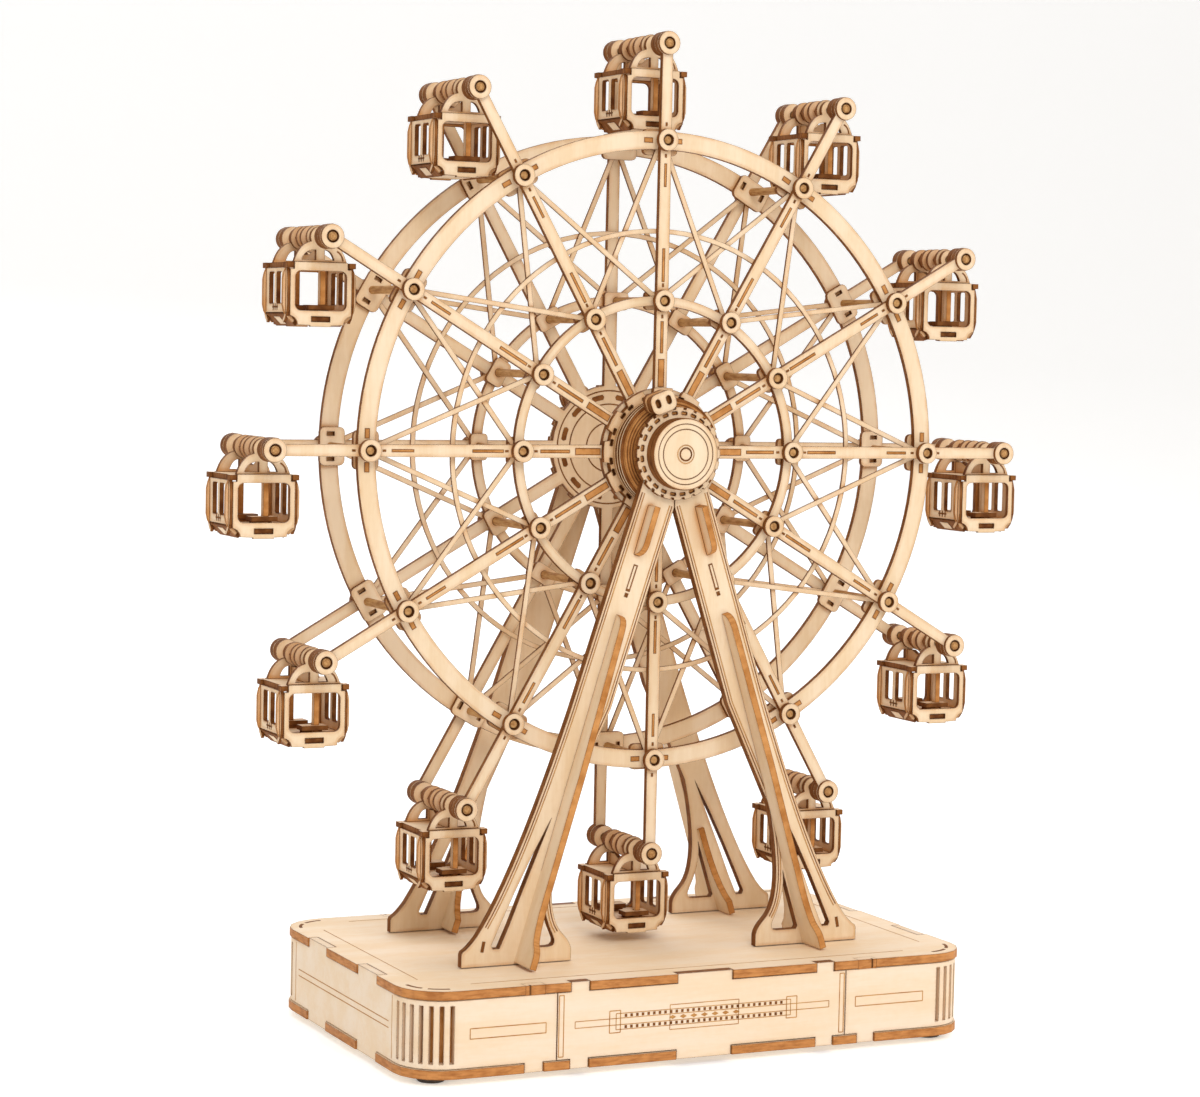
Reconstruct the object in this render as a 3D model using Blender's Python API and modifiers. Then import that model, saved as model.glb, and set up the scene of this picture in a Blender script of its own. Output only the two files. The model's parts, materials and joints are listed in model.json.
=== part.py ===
"""Wooden ferris wheel model kit.

A laser-cut plywood wheel carries twelve hanging cabins between two sheet lattices. Two A-frame
stands hold its axle over a box base, whose corners bend round by kerf cuts. A small cranked music
movement sits inside the base. Metres, +Z up, standing on the floor, front towards -Y.
"""

import math

import bpy
import bmesh
from mathutils import Matrix, Vector

# Sheets and fits
PLY = 0.0020
LEG_PLY = 0.0030
BASE_PLY = 0.0030
FIT = 0.0003
RUNNING_FIT = 0.0004

# Wheel, seen from the front
CABIN_COUNT = 12
PIVOT_RADIUS = 0.1400
RIM_RADIUS = 0.1070
RIM_WIDTH = 0.0063
INNER_RADIUS = 0.0520
INNER_RING_WIDTH = 0.0033
MID_RING_OUTSET = 0.0084
MID_RING_WIDTH = 0.0018
STRIP_WIDTH = 0.0018
SPOKE_WIDTH = 0.0046
ARM_WIDTH = 0.0039
EYE_RADIUS = 0.0042
SPOKE_DISC_RADIUS = 0.0220
BOSS_RADIUS = 0.0035
BOSS_HEIGHT = 0.0020
DOWEL_RADIUS = 0.0014
RIM_STEPS = 36

# Wheel, in depth from its mid-plane
LATTICE_GAP = 0.0340
TOOTHED_DISC_RADIUS = 0.0224
TOOTHED_DISC_HEIGHT = 0.0020
DISC_TOOTH = 0.0018
DRUM_RADIUS = 0.0190
DRUM_GROOVE = 0.0018
DRUM_DEPTH = 0.0071
DRUM_LAYERS = 2
AXLE_RADIUS = 0.0020
KNOB_RADIUS = 0.0123
KNOB_DEPTH = 0.0050
KNOB_GROOVE_RADIUS = 0.0096
KNOB_STEP = 0.0008

# Cabins, measured down from the pivot
CABIN_WIDTH = 0.0234
CABIN_DEPTH = 0.0240
ROOF_DROP = 0.0085
ROOF_OVERHANG = 0.0011
WINDOW_DROP = 0.0117
WINDOW_HEIGHT = 0.0110
WINDOW_WIDTH = 0.0176
FLOOR_DROP = 0.0290
CABIN_CHAMFER = 0.0042
SIDE_WINDOW_WIDTH = 0.0110
HANGER_RING_RADIUS = 0.0033
HANGER_WIDTH = 0.0190
HANGER_NECK = math.radians(-24)
HANGER_PULL = (0.0074, -0.0031)
CABIN_AXLE_RADIUS = 0.0012
AXLE_END = 0.0012
BENCH_DEPTH = 0.0060
BENCH_DROP = 0.0236

# Base box
BASE_LENGTH = 0.2120
BASE_DEPTH = 0.1310
BASE_HEIGHT = 0.0290
BASE_CORNER = 0.0160
PLATE_OVERHANG = 0.0005
SEAM_X = 0.0545
CENTRE_TAB = 0.0205
SIDE_TAB = 0.0180
SIDE_TAB_Y = 0.0240
SEAM_TAB = 0.0065
SEAM_TAB_X = 0.0463
KERF_COUNT = 7
KERF_HEIGHT = 0.0190
KERF_WIDTH = 0.0014
FOOT_RADIUS = 0.0036
FOOT_HEIGHT = 0.0025
FOOT_INSET = 0.0130

# Stands: heights above the base top, distances out from the wheel's axis
CABIN_CLEARANCE = 0.0040
HUB_HEIGHT = PIVOT_RADIUS + FLOOR_DROP + CABIN_CLEARANCE
FOOT_OUTER_X = 0.0760
FOOT_INNER_X = 0.0356
LEG_WIDTH = 0.0150
LEG_STRAIGHT_HEIGHT = 0.0860
LEG_STRAIGHT_X = 0.0375
LEG_HEAD_RADIUS = 0.0085
TOE_HEIGHT = 0.0055
TOE_CORNER = 0.0015
OUTER_FLARE_PULL = (0.0570, 0.0300)
OUTER_FLARE_END = (0.0705, 0.0105)
INNER_FLARE_START = (0.0397, 0.0500)
INNER_FLARE_PULL = (0.0475, 0.0150)
INNER_FLARE_END = (0.0385, 0.0080)
LEG_SLIT = [(0.0436, 0.0500), (0.0570, 0.0230), (0.0650, 0.0060), (0.0608, 0.0060), (0.0538, 0.0266)]
LEG_WINDOW = [(0.0452, 0.0300), (0.0480, 0.0120), (0.0492, 0.0060), (0.0430, 0.0060), (0.0458, 0.0140)]
FIN_TOP_X = 0.0035
RIB_HEIGHT = 0.0052
RIB_SWELL = 0.0026
RIB_SWELL_HEIGHT = 0.0675
RIB_BEND_HEIGHT = 0.0200
RIB_TOE = 0.0130
RIB_LENGTH = 0.1230
HEAD_RIB_START = 0.0175
HEAD_RIB_END = 0.0350
GUSSET_HEIGHT = 0.0330
GUSSET_TOE = 0.0100
GUSSET_BEND_HEIGHT = 0.0115
GUSSET_SETBACK = 0.0012
BEARING_RADIUS = 0.0160
BEARING_STEPS = 24
LUG_ANGLE = math.radians(21)
LUG_RADIUS = 0.0228
LUG_WIDTH = 0.0100
LUG_STEP = 0.0012
LUG_ROOT = 0.0020
LUG_EYE = 0.0013

# Music movement and its crank, behind the back wall
MOVEMENT_X = 0.0
BED_DEPTH = 0.0240
BED_THICKNESS = 0.0020
BRACKET = 0.0016
BRACKET_WIDTH = 0.0064
BEARING_GAP = 0.0008
CYLINDER_RADIUS = 0.0050
CYLINDER_LENGTH = 0.0180
CYLINDER_SETBACK = 0.0265
CYLINDER_AXLE_RADIUS = 0.0010
GEAR_RADIUS = 0.0053
GEAR_WIDTH = 0.0022
GEAR_TEETH = 10
GEAR_TOOTH = 0.0009
GEAR_TO_BED = 0.0012
BEARING_TOP = 0.0024
WORM_RADIUS = 0.0020
WORM_LENGTH = 0.0080
CRANK_SHAFT_RADIUS = 0.0013
SHAFT_BEARING_DISTANCE = 0.0080
CRANK_ARM = 0.0130
CRANK_ARM_WIDTH = 0.0050
CRANK_ARM_THICKNESS = 0.0015
CRANK_STANDOFF = 0.0040
CRANK_PIN_RADIUS = 0.0010
CRANK_PIN_LENGTH = 0.0096
CRANK_KNOB_RADIUS = 0.0034
CRANK_KNOB_WAIST = 0.0024
CRANK_KNOB_LENGTH = 0.0120
CRANK_KNOB_ROUND = 0.0012
CRANK_KNOB_HEAD = 0.0040
COMB_TEETH = 6
COMB_TOOTH_PITCH = 0.0024
COMB_TOOTH_WIDTH = 0.0016
COMB_TAPER = 0.00015
COMB_TOOTH_LENGTH = 0.0050
COMB_ROOT = 0.0040
COMB_THICKNESS = 0.0006
COMB_GAP = 0.0006

# Depths from the wheel's mid-plane, each stacked on the one before
LATTICE_IN = LATTICE_GAP / 2
LATTICE_OUT = LATTICE_IN + PLY
SPOKE_IN = LATTICE_OUT + FIT
SPOKE_OUT = SPOKE_IN + PLY
BOSS_OUT = SPOKE_OUT + BOSS_HEIGHT
DRUM_IN = SPOKE_OUT + FIT
DRUM_OUT = DRUM_IN + TOOTHED_DISC_HEIGHT + DRUM_DEPTH
LEG_IN = DRUM_OUT + FIT
LEG_OUT = LEG_IN + LEG_PLY
BEARING_IN = LEG_OUT + FIT
BEARING_OUT = BEARING_IN + PLY
KNOB_IN = BEARING_OUT + FIT

# Places in the world: the crank behind the base moves the wheel's mid-plane forward, so that the
# middle of the whole object lies over the origin
BACK_WALL_OUT = BASE_DEPTH / 2 - PLATE_OVERHANG
CYLINDER_Y = BACK_WALL_OUT - CYLINDER_SETBACK
CRANK_REACH = BACK_WALL_OUT + CRANK_STANDOFF + CRANK_ARM_THICKNESS + CRANK_KNOB_LENGTH
MID_Y = (BASE_DEPTH / 2 - CRANK_REACH) / 2
BASE_TOP = FOOT_HEIGHT + BASE_HEIGHT
HUB_Z = BASE_TOP + HUB_HEIGHT
BED_Z = FOOT_HEIGHT + BASE_PLY + FIT
CYLINDER_Z = BED_Z + BED_THICKNESS + GEAR_RADIUS + GEAR_TO_BED
CRANK_Z = CYLINDER_Z + GEAR_RADIUS + WORM_RADIUS + FIT
BED_Y = CYLINDER_Y - SHAFT_BEARING_DISTANCE / 2
CYLINDER_START = -(GEAR_WIDTH / 2 + BEARING_GAP)
COMB_X = MOVEMENT_X + CYLINDER_START - CYLINDER_LENGTH / 2 - BRACKET
COMB_Y = CYLINDER_Y - CYLINDER_RADIUS - COMB_GAP - COMB_TOOTH_LENGTH

STEP_ANGLE = 2 * math.pi / CABIN_COUNT

PALE_WOOD = (0.80, 0.60, 0.37, 1)
WARM_WOOD = (0.72, 0.50, 0.28, 1)
BROWN_WOOD = (0.52, 0.32, 0.16, 1)
RUBBER = (0.05, 0.035, 0.03, 1)
STEEL = (0.62, 0.62, 0.60, 1)
BRASS = (0.72, 0.55, 0.26, 1)

FACING_Y = Matrix.Rotation(math.pi / 2, 4, "X")
FACING_X = Matrix(((0, 0, 1, 0), (1, 0, 0, 0), (0, 1, 0, 0), (0, 0, 0, 1)))
FACING_Z = Matrix.Identity(4)


# Scene and collections

def clear_scene():
    for old in list(bpy.data.objects):
        bpy.data.objects.remove(old, do_unlink=True)


def make_collection(name):
    collection = bpy.data.collections.new(name)
    bpy.context.scene.collection.children.link(collection)
    return collection


def make_material(name, colour, roughness, metallic=0.0):
    material = bpy.data.materials.new(name)
    material.use_nodes = True
    shader = material.node_tree.nodes["Principled BSDF"]
    shader.inputs["Base Color"].default_value = colour
    shader.inputs["Roughness"].default_value = roughness
    shader.inputs["Metallic"].default_value = metallic
    return material


def make_empty(name, place, parent=None):
    empty = bpy.data.objects.new(name, None)
    PARTS.objects.link(empty)
    empty.parent = parent
    empty.location = place
    return empty


def as_piece(body, name, colour, roughness=0.6, metallic=0.0, parent=None):
    """Names a finished body, gives it its material and hangs it on its parent"""
    body.name = name
    body.data.name = name
    body.hide_render = False
    body.display_type = "TEXTURED"
    body.data.materials.clear()
    body.data.materials.append(make_material(name, colour, roughness, metallic))
    for collection in list(body.users_collection):
        collection.objects.unlink(body)
    PARTS.objects.link(body)
    body.parent = parent
    return body


# Modelling helpers

def evaluated_mesh(body):
    bpy.context.view_layer.update()
    depsgraph = bpy.context.evaluated_depsgraph_get()
    return bpy.data.meshes.new_from_object(body.evaluated_get(depsgraph))


def rough_object(name, data):
    body = bpy.data.objects.new(name, data)
    CUTTERS.objects.link(body)
    body.hide_render = True
    body.display_type = "WIRE"
    return body


def mesh_from(bm, name, place):
    """Turns a bmesh into an object, with its place moved into the mesh"""
    bm.transform(place)
    mesh = bpy.data.meshes.new(name)
    bm.to_mesh(mesh)
    bm.free()
    return rough_object(name, mesh)


def sheet(outlines, thickness, facing, centre):
    """A piece cut from a sheet: filled outlines, extruded and turned to face an axis"""
    curve = bpy.data.curves.new("outline", "CURVE")
    curve.dimensions = "2D"
    curve.fill_mode = "BOTH"
    curve.extrude = thickness / 2
    for outline in outlines:
        spline = curve.splines.new("POLY")
        spline.points.add(len(outline) - 1)
        for point, (u, v) in zip(spline.points, outline):
            point.co = (u, v, 0, 1)
        spline.use_cyclic_u = True
    flat = rough_object("outline", curve)
    mesh = evaluated_mesh(flat)
    bm = bmesh.new()
    bm.from_mesh(mesh)
    bmesh.ops.remove_doubles(bm, verts=bm.verts, dist=0.000002)
    bmesh.ops.recalc_face_normals(bm, faces=bm.faces)
    bpy.data.objects.remove(flat)
    bpy.data.meshes.remove(mesh)
    return mesh_from(bm, "sheet", Matrix.Translation(Vector(centre)) @ facing)


def block(size, centre):
    bm = bmesh.new()
    bmesh.ops.create_cube(bm, size=1)
    return mesh_from(bm, "block", Matrix.LocRotScale(Vector(centre), None, Vector(size)))


def rod(radius, length, sides, facing, centre):
    bm = bmesh.new()
    bmesh.ops.create_cone(bm, cap_ends=True, segments=sides, radius1=radius, radius2=radius, depth=length)
    return mesh_from(bm, "rod", Matrix.Translation(Vector(centre)) @ facing)


def turned(profile, steps, facing, centre):
    """A turned body: (radius, height) points from the top down, spun by a Screw modifier"""
    mesh = bpy.data.meshes.new("profile")
    points = [(radius, 0, height) for radius, height in profile]
    mesh.from_pydata(points, [(i, i + 1) for i in range(len(points) - 1)], [])
    body = rough_object("turned", mesh)
    screw = body.modifiers.new("spin", "SCREW")
    screw.steps = steps
    screw.render_steps = steps
    screw.use_merge_vertices = True
    screw.merge_threshold = 0.00001
    round_mesh = evaluated_mesh(body)
    bpy.data.objects.remove(body)
    bpy.data.meshes.remove(mesh)
    bm = bmesh.new()
    bm.from_mesh(round_mesh)
    bpy.data.meshes.remove(round_mesh)
    bmesh.ops.recalc_face_normals(bm, faces=bm.faces)
    return mesh_from(bm, "turned", Matrix.Translation(Vector(centre)) @ facing)


def combine(body, tools, operation):
    """Joins the tools to the body, or cuts them out of it, and clears the leftover edges"""
    group = bpy.data.collections.new("tools")
    for tool in tools:
        group.objects.link(tool)
    step = body.modifiers.new("combine", "BOOLEAN")
    step.operation = operation
    step.operand_type = "COLLECTION"
    step.collection = group
    step.solver = "EXACT"
    mesh = evaluated_mesh(body)
    body.modifiers.clear()
    old = body.data
    body.data = mesh
    bpy.data.meshes.remove(old)
    for tool in tools:
        bpy.data.objects.remove(tool)
    bpy.data.collections.remove(group)
    bm = bmesh.new()
    bm.from_mesh(mesh)
    bmesh.ops.remove_doubles(bm, verts=bm.verts, dist=0.000002)
    bmesh.ops.dissolve_limit(bm, angle_limit=math.radians(0.3), verts=bm.verts, edges=bm.edges)
    bm.to_mesh(mesh)
    bm.free()
    return body


def fuse(body, tools):
    return combine(body, tools, "UNION")


def cut(body, tools):
    return combine(body, tools, "DIFFERENCE")


# Outlines

def polar(radius, angle):
    """A point on the wheel: the angle runs clockwise from the top, seen from the front"""
    return (radius * math.sin(angle), radius * math.cos(angle))


def circle(radius, sides, centre=(0, 0), turn=0.0):
    cx, cy = centre
    angles = [turn + 2 * math.pi * i / sides for i in range(sides)]
    return [(cx + radius * math.cos(a), cy + radius * math.sin(a)) for a in angles]


def bore(radius, sides, centre=(0, 0)):
    """A hole's outline: its flats touch the circle of this radius, so a round pin clears them"""
    return circle(radius / math.cos(math.pi / sides), sides, centre)


def arc(centre, radius, start, end, steps):
    cx, cy = centre
    angles = [start + (end - start) * i / steps for i in range(steps + 1)]
    return [(cx + radius * math.cos(a), cy + radius * math.sin(a)) for a in angles]


def bend(start, control, end, steps):
    """Points on a curve drawn from start to end towards a control point"""
    points = []
    for i in range(steps + 1):
        t = i / steps
        near, pull, far = (1 - t) ** 2, 2 * t * (1 - t), t ** 2
        points.append(tuple(near * a + pull * b + far * c for a, b, c in zip(start, control, end)))
    return points


def rectangle(width, height, centre=(0, 0)):
    cx, cy = centre
    w, h = width / 2, height / 2
    return [(cx - w, cy - h), (cx + w, cy - h), (cx + w, cy + h), (cx - w, cy + h)]


def rounded_rectangle(length, depth, radius, steps):
    points = []
    for sx, sy, start in ((1, -1, -90), (1, 1, 0), (-1, 1, 90), (-1, -1, 180)):
        centre = (sx * (length / 2 - radius), sy * (depth / 2 - radius))
        points += arc(centre, radius, math.radians(start), math.radians(start + 90), steps)
    return points


def toothed_circle(radius, teeth, depth, share=0.6):
    """A disc's outline with square notches between its teeth"""
    points = []
    pitch = 2 * math.pi / teeth
    for i in range(teeth):
        middle = i * pitch
        half_tooth = share * pitch / 2
        half_gap = (1 - share) * pitch / 2
        points.append((radius * math.cos(middle - half_tooth), radius * math.sin(middle - half_tooth)))
        points.append((radius * math.cos(middle + half_tooth), radius * math.sin(middle + half_tooth)))
        inner = radius - depth
        gap = middle + pitch / 2
        points.append((inner * math.cos(gap - half_gap), inner * math.sin(gap - half_gap)))
        points.append((inner * math.cos(gap + half_gap), inner * math.sin(gap + half_gap)))
    return points


# The wheel, about its own axis

def spoke_star(side):
    """Hub disc, twelve spokes and their arms as one sheet, with washers glued on"""
    half_spoke, half_arm = SPOKE_WIDTH / 2, ARM_WIDTH / 2
    root = math.sqrt(SPOKE_DISC_RADIUS ** 2 - half_spoke ** 2)
    eye = math.asin(half_arm / EYE_RADIUS)
    outline = []
    for k in range(CABIN_COUNT):
        # one spoke pointing up, from its left root round the eye to its right root
        eye_arc = arc((0, PIVOT_RADIUS), EYE_RADIUS, math.radians(270) - eye, math.radians(-90) + eye, 4)
        points = [(-half_spoke, root)] + eye_arc + [(half_spoke, root)]
        points.append(polar(SPOKE_DISC_RADIUS, STEP_ANGLE / 2))
        outline += turned_outline(points, k)
    holes = [bore(AXLE_RADIUS + FIT, 10)]
    for k in range(CABIN_COUNT):
        holes.append(bore(CABIN_AXLE_RADIUS + FIT, 6, polar(PIVOT_RADIUS, k * STEP_ANGLE)))
    middle = side * (SPOKE_IN + SPOKE_OUT) / 2
    star = sheet([outline] + holes, PLY, FACING_Y, (0, middle, 0))
    washers = []
    washer_in = SPOKE_OUT - PLY / 2
    depth = BOSS_OUT - washer_in
    for k in range(CABIN_COUNT):
        x, z = polar(RIM_RADIUS, k * STEP_ANGLE)
        washers.append(rod(BOSS_RADIUS, depth, 6, FACING_Y, (x, side * (washer_in + depth / 2), z)))
    return fuse(star, washers)


def rim(side):
    """One outer rim; the rear one carries the cross dowels that space the two sides"""
    ring = [circle(RIM_RADIUS + RIM_WIDTH / 2, RIM_STEPS), circle(RIM_RADIUS - RIM_WIDTH / 2, RIM_STEPS)]
    body = sheet(ring, PLY, FACING_Y, (0, side * (LATTICE_IN + LATTICE_OUT) / 2, 0))
    if side < 0:
        return body
    return fuse(body, cross_dowels(RIM_RADIUS))


def cross_dowels(radius):
    """Dowels from within the rear sheet to the inner face of the front one"""
    start = -LATTICE_IN + FIT
    end = LATTICE_OUT - PLY / 2
    dowels = []
    for k in range(CABIN_COUNT):
        x, z = polar(radius, k * STEP_ANGLE)
        dowels.append(rod(DOWEL_RADIUS, end - start, 6, FACING_Y, (x, (start + end) / 2, z)))
    return dowels


def crossing(start, end, radius):
    """Where the line from an outer to an inner point meets a circle round the hub"""
    run = end - start
    a, b, c = run.dot(run), 2 * start.dot(run), start.dot(start) - radius ** 2
    return start + run * ((-b - math.sqrt(b * b - 4 * a * c)) / (2 * a))


def inset(corners, margins):
    """Moves each edge of an anticlockwise outline in by its margin and finds the new corners"""
    lines = []
    for i, margin in enumerate(margins):
        a, b = Vector(corners[i]), Vector(corners[(i + 1) % len(corners)])
        along = (b - a).normalized()
        inward = Vector((-along.y, along.x))
        lines.append((a + inward * margin, along))
    points = []
    for i in range(len(lines)):
        (p, u), (q, v) = lines[i - 1], lines[i]
        t = ((q.x - p.x) * v.y - (q.y - p.y) * v.x) / (u.x * v.y - u.y * v.x)
        points.append(tuple(p + u * t))
    return points


def turned_outline(points, k):
    """The same outline, k spokes further round the wheel"""
    c, s = math.cos(k * STEP_ANGLE), math.sin(k * STEP_ANGLE)
    return [(x * c + y * s, y * c - x * s) for x, y in points]


def lattice(side):
    """Inner ring, middle ring and the strips that cross between the rim and the inner ring.
    The sheet is drawn as the windows between them: each is an outline of the strips' middle
    lines, moved in by half a strip"""
    rim_boss, inner_boss = Vector(polar(RIM_RADIUS, 0)), Vector(polar(INNER_RADIUS, 0))
    next_rim, next_inner = Vector(polar(RIM_RADIUS, STEP_ANGLE)), Vector(polar(INNER_RADIUS, STEP_ANGLE))
    strip_half, mid_half, ring_half = STRIP_WIDTH / 2, MID_RING_WIDTH / 2, INNER_RING_WIDTH / 2
    middle = polar(1, STEP_ANGLE / 2)
    slope = (next_inner.y - rim_boss.y) / (next_inner.x - rim_boss.x)
    cross_radius = rim_boss.y / (middle[1] - slope * middle[0])
    cross = Vector(middle) * cross_radius
    near_mid = crossing(rim_boss, next_inner, cross_radius + MID_RING_OUTSET)
    far_mid = crossing(next_rim, inner_boss, cross_radius + MID_RING_OUTSET)
    ring_middle = Vector(polar(INNER_RADIUS, STEP_ANGLE / 2))
    mirror = [Vector((-point.x, point.y)) for point in (near_mid, cross)]
    edge = RIM_RADIUS - RIM_WIDTH / 2 - FIT
    foot = crossing(rim_boss, next_inner, edge)
    foot_inner = crossing(rim_boss, next_inner, edge - STRIP_WIDTH)
    spoke_upper = inset([(foot_inner.x, foot_inner.y), (-foot_inner.x, foot_inner.y), mirror[0], near_mid],
                        [0, strip_half, mid_half, strip_half])
    spoke_lower = inset([near_mid, mirror[0], mirror[1], inner_boss, cross],
                        [mid_half, strip_half, strip_half, strip_half, strip_half])
    small = inset([cross, far_mid, near_mid], [strip_half, mid_half, strip_half])
    large = inset([cross, inner_boss, ring_middle, next_inner],
                  [strip_half, ring_half, ring_half, strip_half])
    bay = inset([foot, near_mid, far_mid, turned_outline([(-foot.x, foot.y)], 1)[0]],
                [strip_half, mid_half, strip_half, 0])
    outer, windows = [], []
    for k in range(CABIN_COUNT):
        outer += turned_outline(bay, k)
        windows += [turned_outline(window, k) for window in (spoke_upper, spoke_lower, small, large)]
    hub_hole = circle(INNER_RADIUS - ring_half, 24)
    place = (0, side * (LATTICE_IN + LATTICE_OUT) / 2, 0)
    body = sheet([outer, hub_hole] + windows, PLY, FACING_Y, place)
    if side < 0:
        return body
    return fuse(body, cross_dowels(INNER_RADIUS))


def hub_drum(side):
    """A toothed disc with a grooved stack of layers, between the spokes and the stand"""
    start = side * DRUM_IN
    disc_middle = start + side * TOOTHED_DISC_HEIGHT / 2
    disc = sheet([toothed_circle(TOOTHED_DISC_RADIUS, CABIN_COUNT, DISC_TOOTH), bore(AXLE_RADIUS + FIT, 10)],
                 TOOTHED_DISC_HEIGHT, FACING_Y, (0, disc_middle, 0))
    layer = DRUM_DEPTH / (2 * DRUM_LAYERS - 1)
    bore_radius = AXLE_RADIUS + FIT
    profile = [(bore_radius, DRUM_DEPTH)]
    for i in range(2 * DRUM_LAYERS - 1):
        top = DRUM_DEPTH - i * layer
        radius = DRUM_RADIUS - (DRUM_GROOVE if i % 2 else 0)
        profile += [(radius, top), (radius, top - layer)]
    sunk = TOOTHED_DISC_HEIGHT / 2
    profile[-1] = (profile[-1][0], -sunk)
    profile += [(bore_radius, -sunk), (bore_radius, DRUM_DEPTH)]
    turn = FACING_Y if side < 0 else Matrix.Rotation(-math.pi / 2, 4, "X")
    stack = turned(profile, 14, turn, (0, side * (DRUM_IN + TOOTHED_DISC_HEIGHT), 0))
    return fuse(disc, [stack])


def hub_knob(side):
    """The round cap outside the stand: the wheel is turned by it"""
    groove = KNOB_GROOVE_RADIUS
    top, bottom = KNOB_DEPTH, KNOB_DEPTH - KNOB_STEP
    profile = [(0, top), (groove - KNOB_STEP, top), (groove, bottom), (groove + KNOB_STEP, top),
               (KNOB_RADIUS - KNOB_STEP / 2, top), (KNOB_RADIUS, top - KNOB_STEP / 2),
               (KNOB_RADIUS, 0), (0, 0)]
    turn = FACING_Y if side < 0 else Matrix.Rotation(-math.pi / 2, 4, "X")
    return turned(profile, 20, turn, (0, side * KNOB_IN, 0))


def main_axle():
    length = 2 * (KNOB_IN - FIT)
    return rod(AXLE_RADIUS, length, 12, FACING_Y, (0, 0, 0))


# A cabin, about its own pivot

def cabin():
    """Four window panels, roof, floor, bench and the two arched hangers, glued as one"""
    half_depth = CABIN_DEPTH / 2
    half_width = CABIN_WIDTH / 2
    roof_bottom = -ROOF_DROP - PLY
    inner_height = FLOOR_DROP - PLY - ROOF_DROP - PLY
    window_z = -WINDOW_DROP - WINDOW_HEIGHT / 2
    box_outline = [(-half_width + CABIN_CHAMFER, -FLOOR_DROP), (half_width - CABIN_CHAMFER, -FLOOR_DROP),
                   (half_width, -FLOOR_DROP + CABIN_CHAMFER), (half_width, roof_bottom + PLY / 2),
                   (-half_width, roof_bottom + PLY / 2), (-half_width, -FLOOR_DROP + CABIN_CHAMFER)]
    body = sheet([box_outline], CABIN_DEPTH, FACING_Y, (0, 0, 0))
    inside_width = CABIN_WIDTH - 2 * PLY
    inside_depth = CABIN_DEPTH - 2 * PLY
    floor_top = -FLOOR_DROP + CABIN_CHAMFER
    cabin_room = block((inside_width, inside_depth, roof_bottom - floor_top),
                       (0, 0, (roof_bottom + floor_top) / 2))
    window = sheet([rectangle(WINDOW_WIDTH, WINDOW_HEIGHT, (0, window_z))],
                   CABIN_DEPTH + 2 * PLY, FACING_Y, (0, 0, 0))
    side_window = block((CABIN_WIDTH + 2 * PLY, SIDE_WINDOW_WIDTH, WINDOW_HEIGHT), (0, 0, window_z))
    cut(body, [cabin_room, window, side_window])
    roof_size = (CABIN_WIDTH + 2 * ROOF_OVERHANG, CABIN_DEPTH + 2 * ROOF_OVERHANG, PLY)
    roof = block(roof_size, (0, 0, -ROOF_DROP - PLY / 2))
    bench_top = -BENCH_DROP + PLY
    bench_height = bench_top - floor_top + PLY / 2
    bench = block((inside_width + PLY, BENCH_DEPTH, bench_height), (0, 0, bench_top - bench_height / 2))
    hangers = [hanger(side * (half_depth - PLY / 2)) for side in (-1, 1)]
    return fuse(body, [roof, bench] + hangers)


def hanger(y):
    """An arched plate on the roof, with a ring round the axle"""
    foot = -ROOF_DROP - PLY / 2
    neck = (HANGER_RING_RADIUS * math.cos(HANGER_NECK), HANGER_RING_RADIUS * math.sin(HANGER_NECK))
    shoulder = bend((HANGER_WIDTH / 2, foot), HANGER_PULL, neck, 2)
    top = arc((0, 0), HANGER_RING_RADIUS, HANGER_NECK, math.pi - HANGER_NECK, 4)
    outline = shoulder + top[1:-1] + [(-x, z) for x, z in reversed(shoulder)]
    hole = bore(CABIN_AXLE_RADIUS + FIT, 6)
    return sheet([outline, hole], PLY, FACING_Y, (0, y, 0))


def cabin_axle():
    """The dowel that runs through both arms and the cabin's two hangers"""
    return rod(CABIN_AXLE_RADIUS, 2 * (SPOKE_OUT + AXLE_END), 6, FACING_Y, (0, 0, 0))


# The stands, about the wheel's axis

def leg_line(height):
    """How far out from the axis the fin's middle lies, at a height above the base"""
    foot = (FOOT_OUTER_X + FOOT_INNER_X) / 2
    return foot + (FIN_TOP_X - foot) * height / HUB_HEIGHT


def leg_lean():
    """The fin's slant from upright"""
    return math.atan2(leg_line(0) - leg_line(HUB_HEIGHT), HUB_HEIGHT)


def leg_head():
    """Where the straight outer edge of a leg meets its round head, and the edge's slope"""
    below = HUB_HEIGHT - LEG_STRAIGHT_HEIGHT
    away = math.hypot(LEG_STRAIGHT_X, below)
    angle = math.atan2(-below, LEG_STRAIGHT_X) + math.acos(LEG_HEAD_RADIUS / away)
    touch_x, touch_z = LEG_HEAD_RADIUS * math.cos(angle), LEG_HEAD_RADIUS * math.sin(angle)
    slope = (LEG_STRAIGHT_X - touch_x) / (touch_z + below)
    return angle, slope


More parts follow.
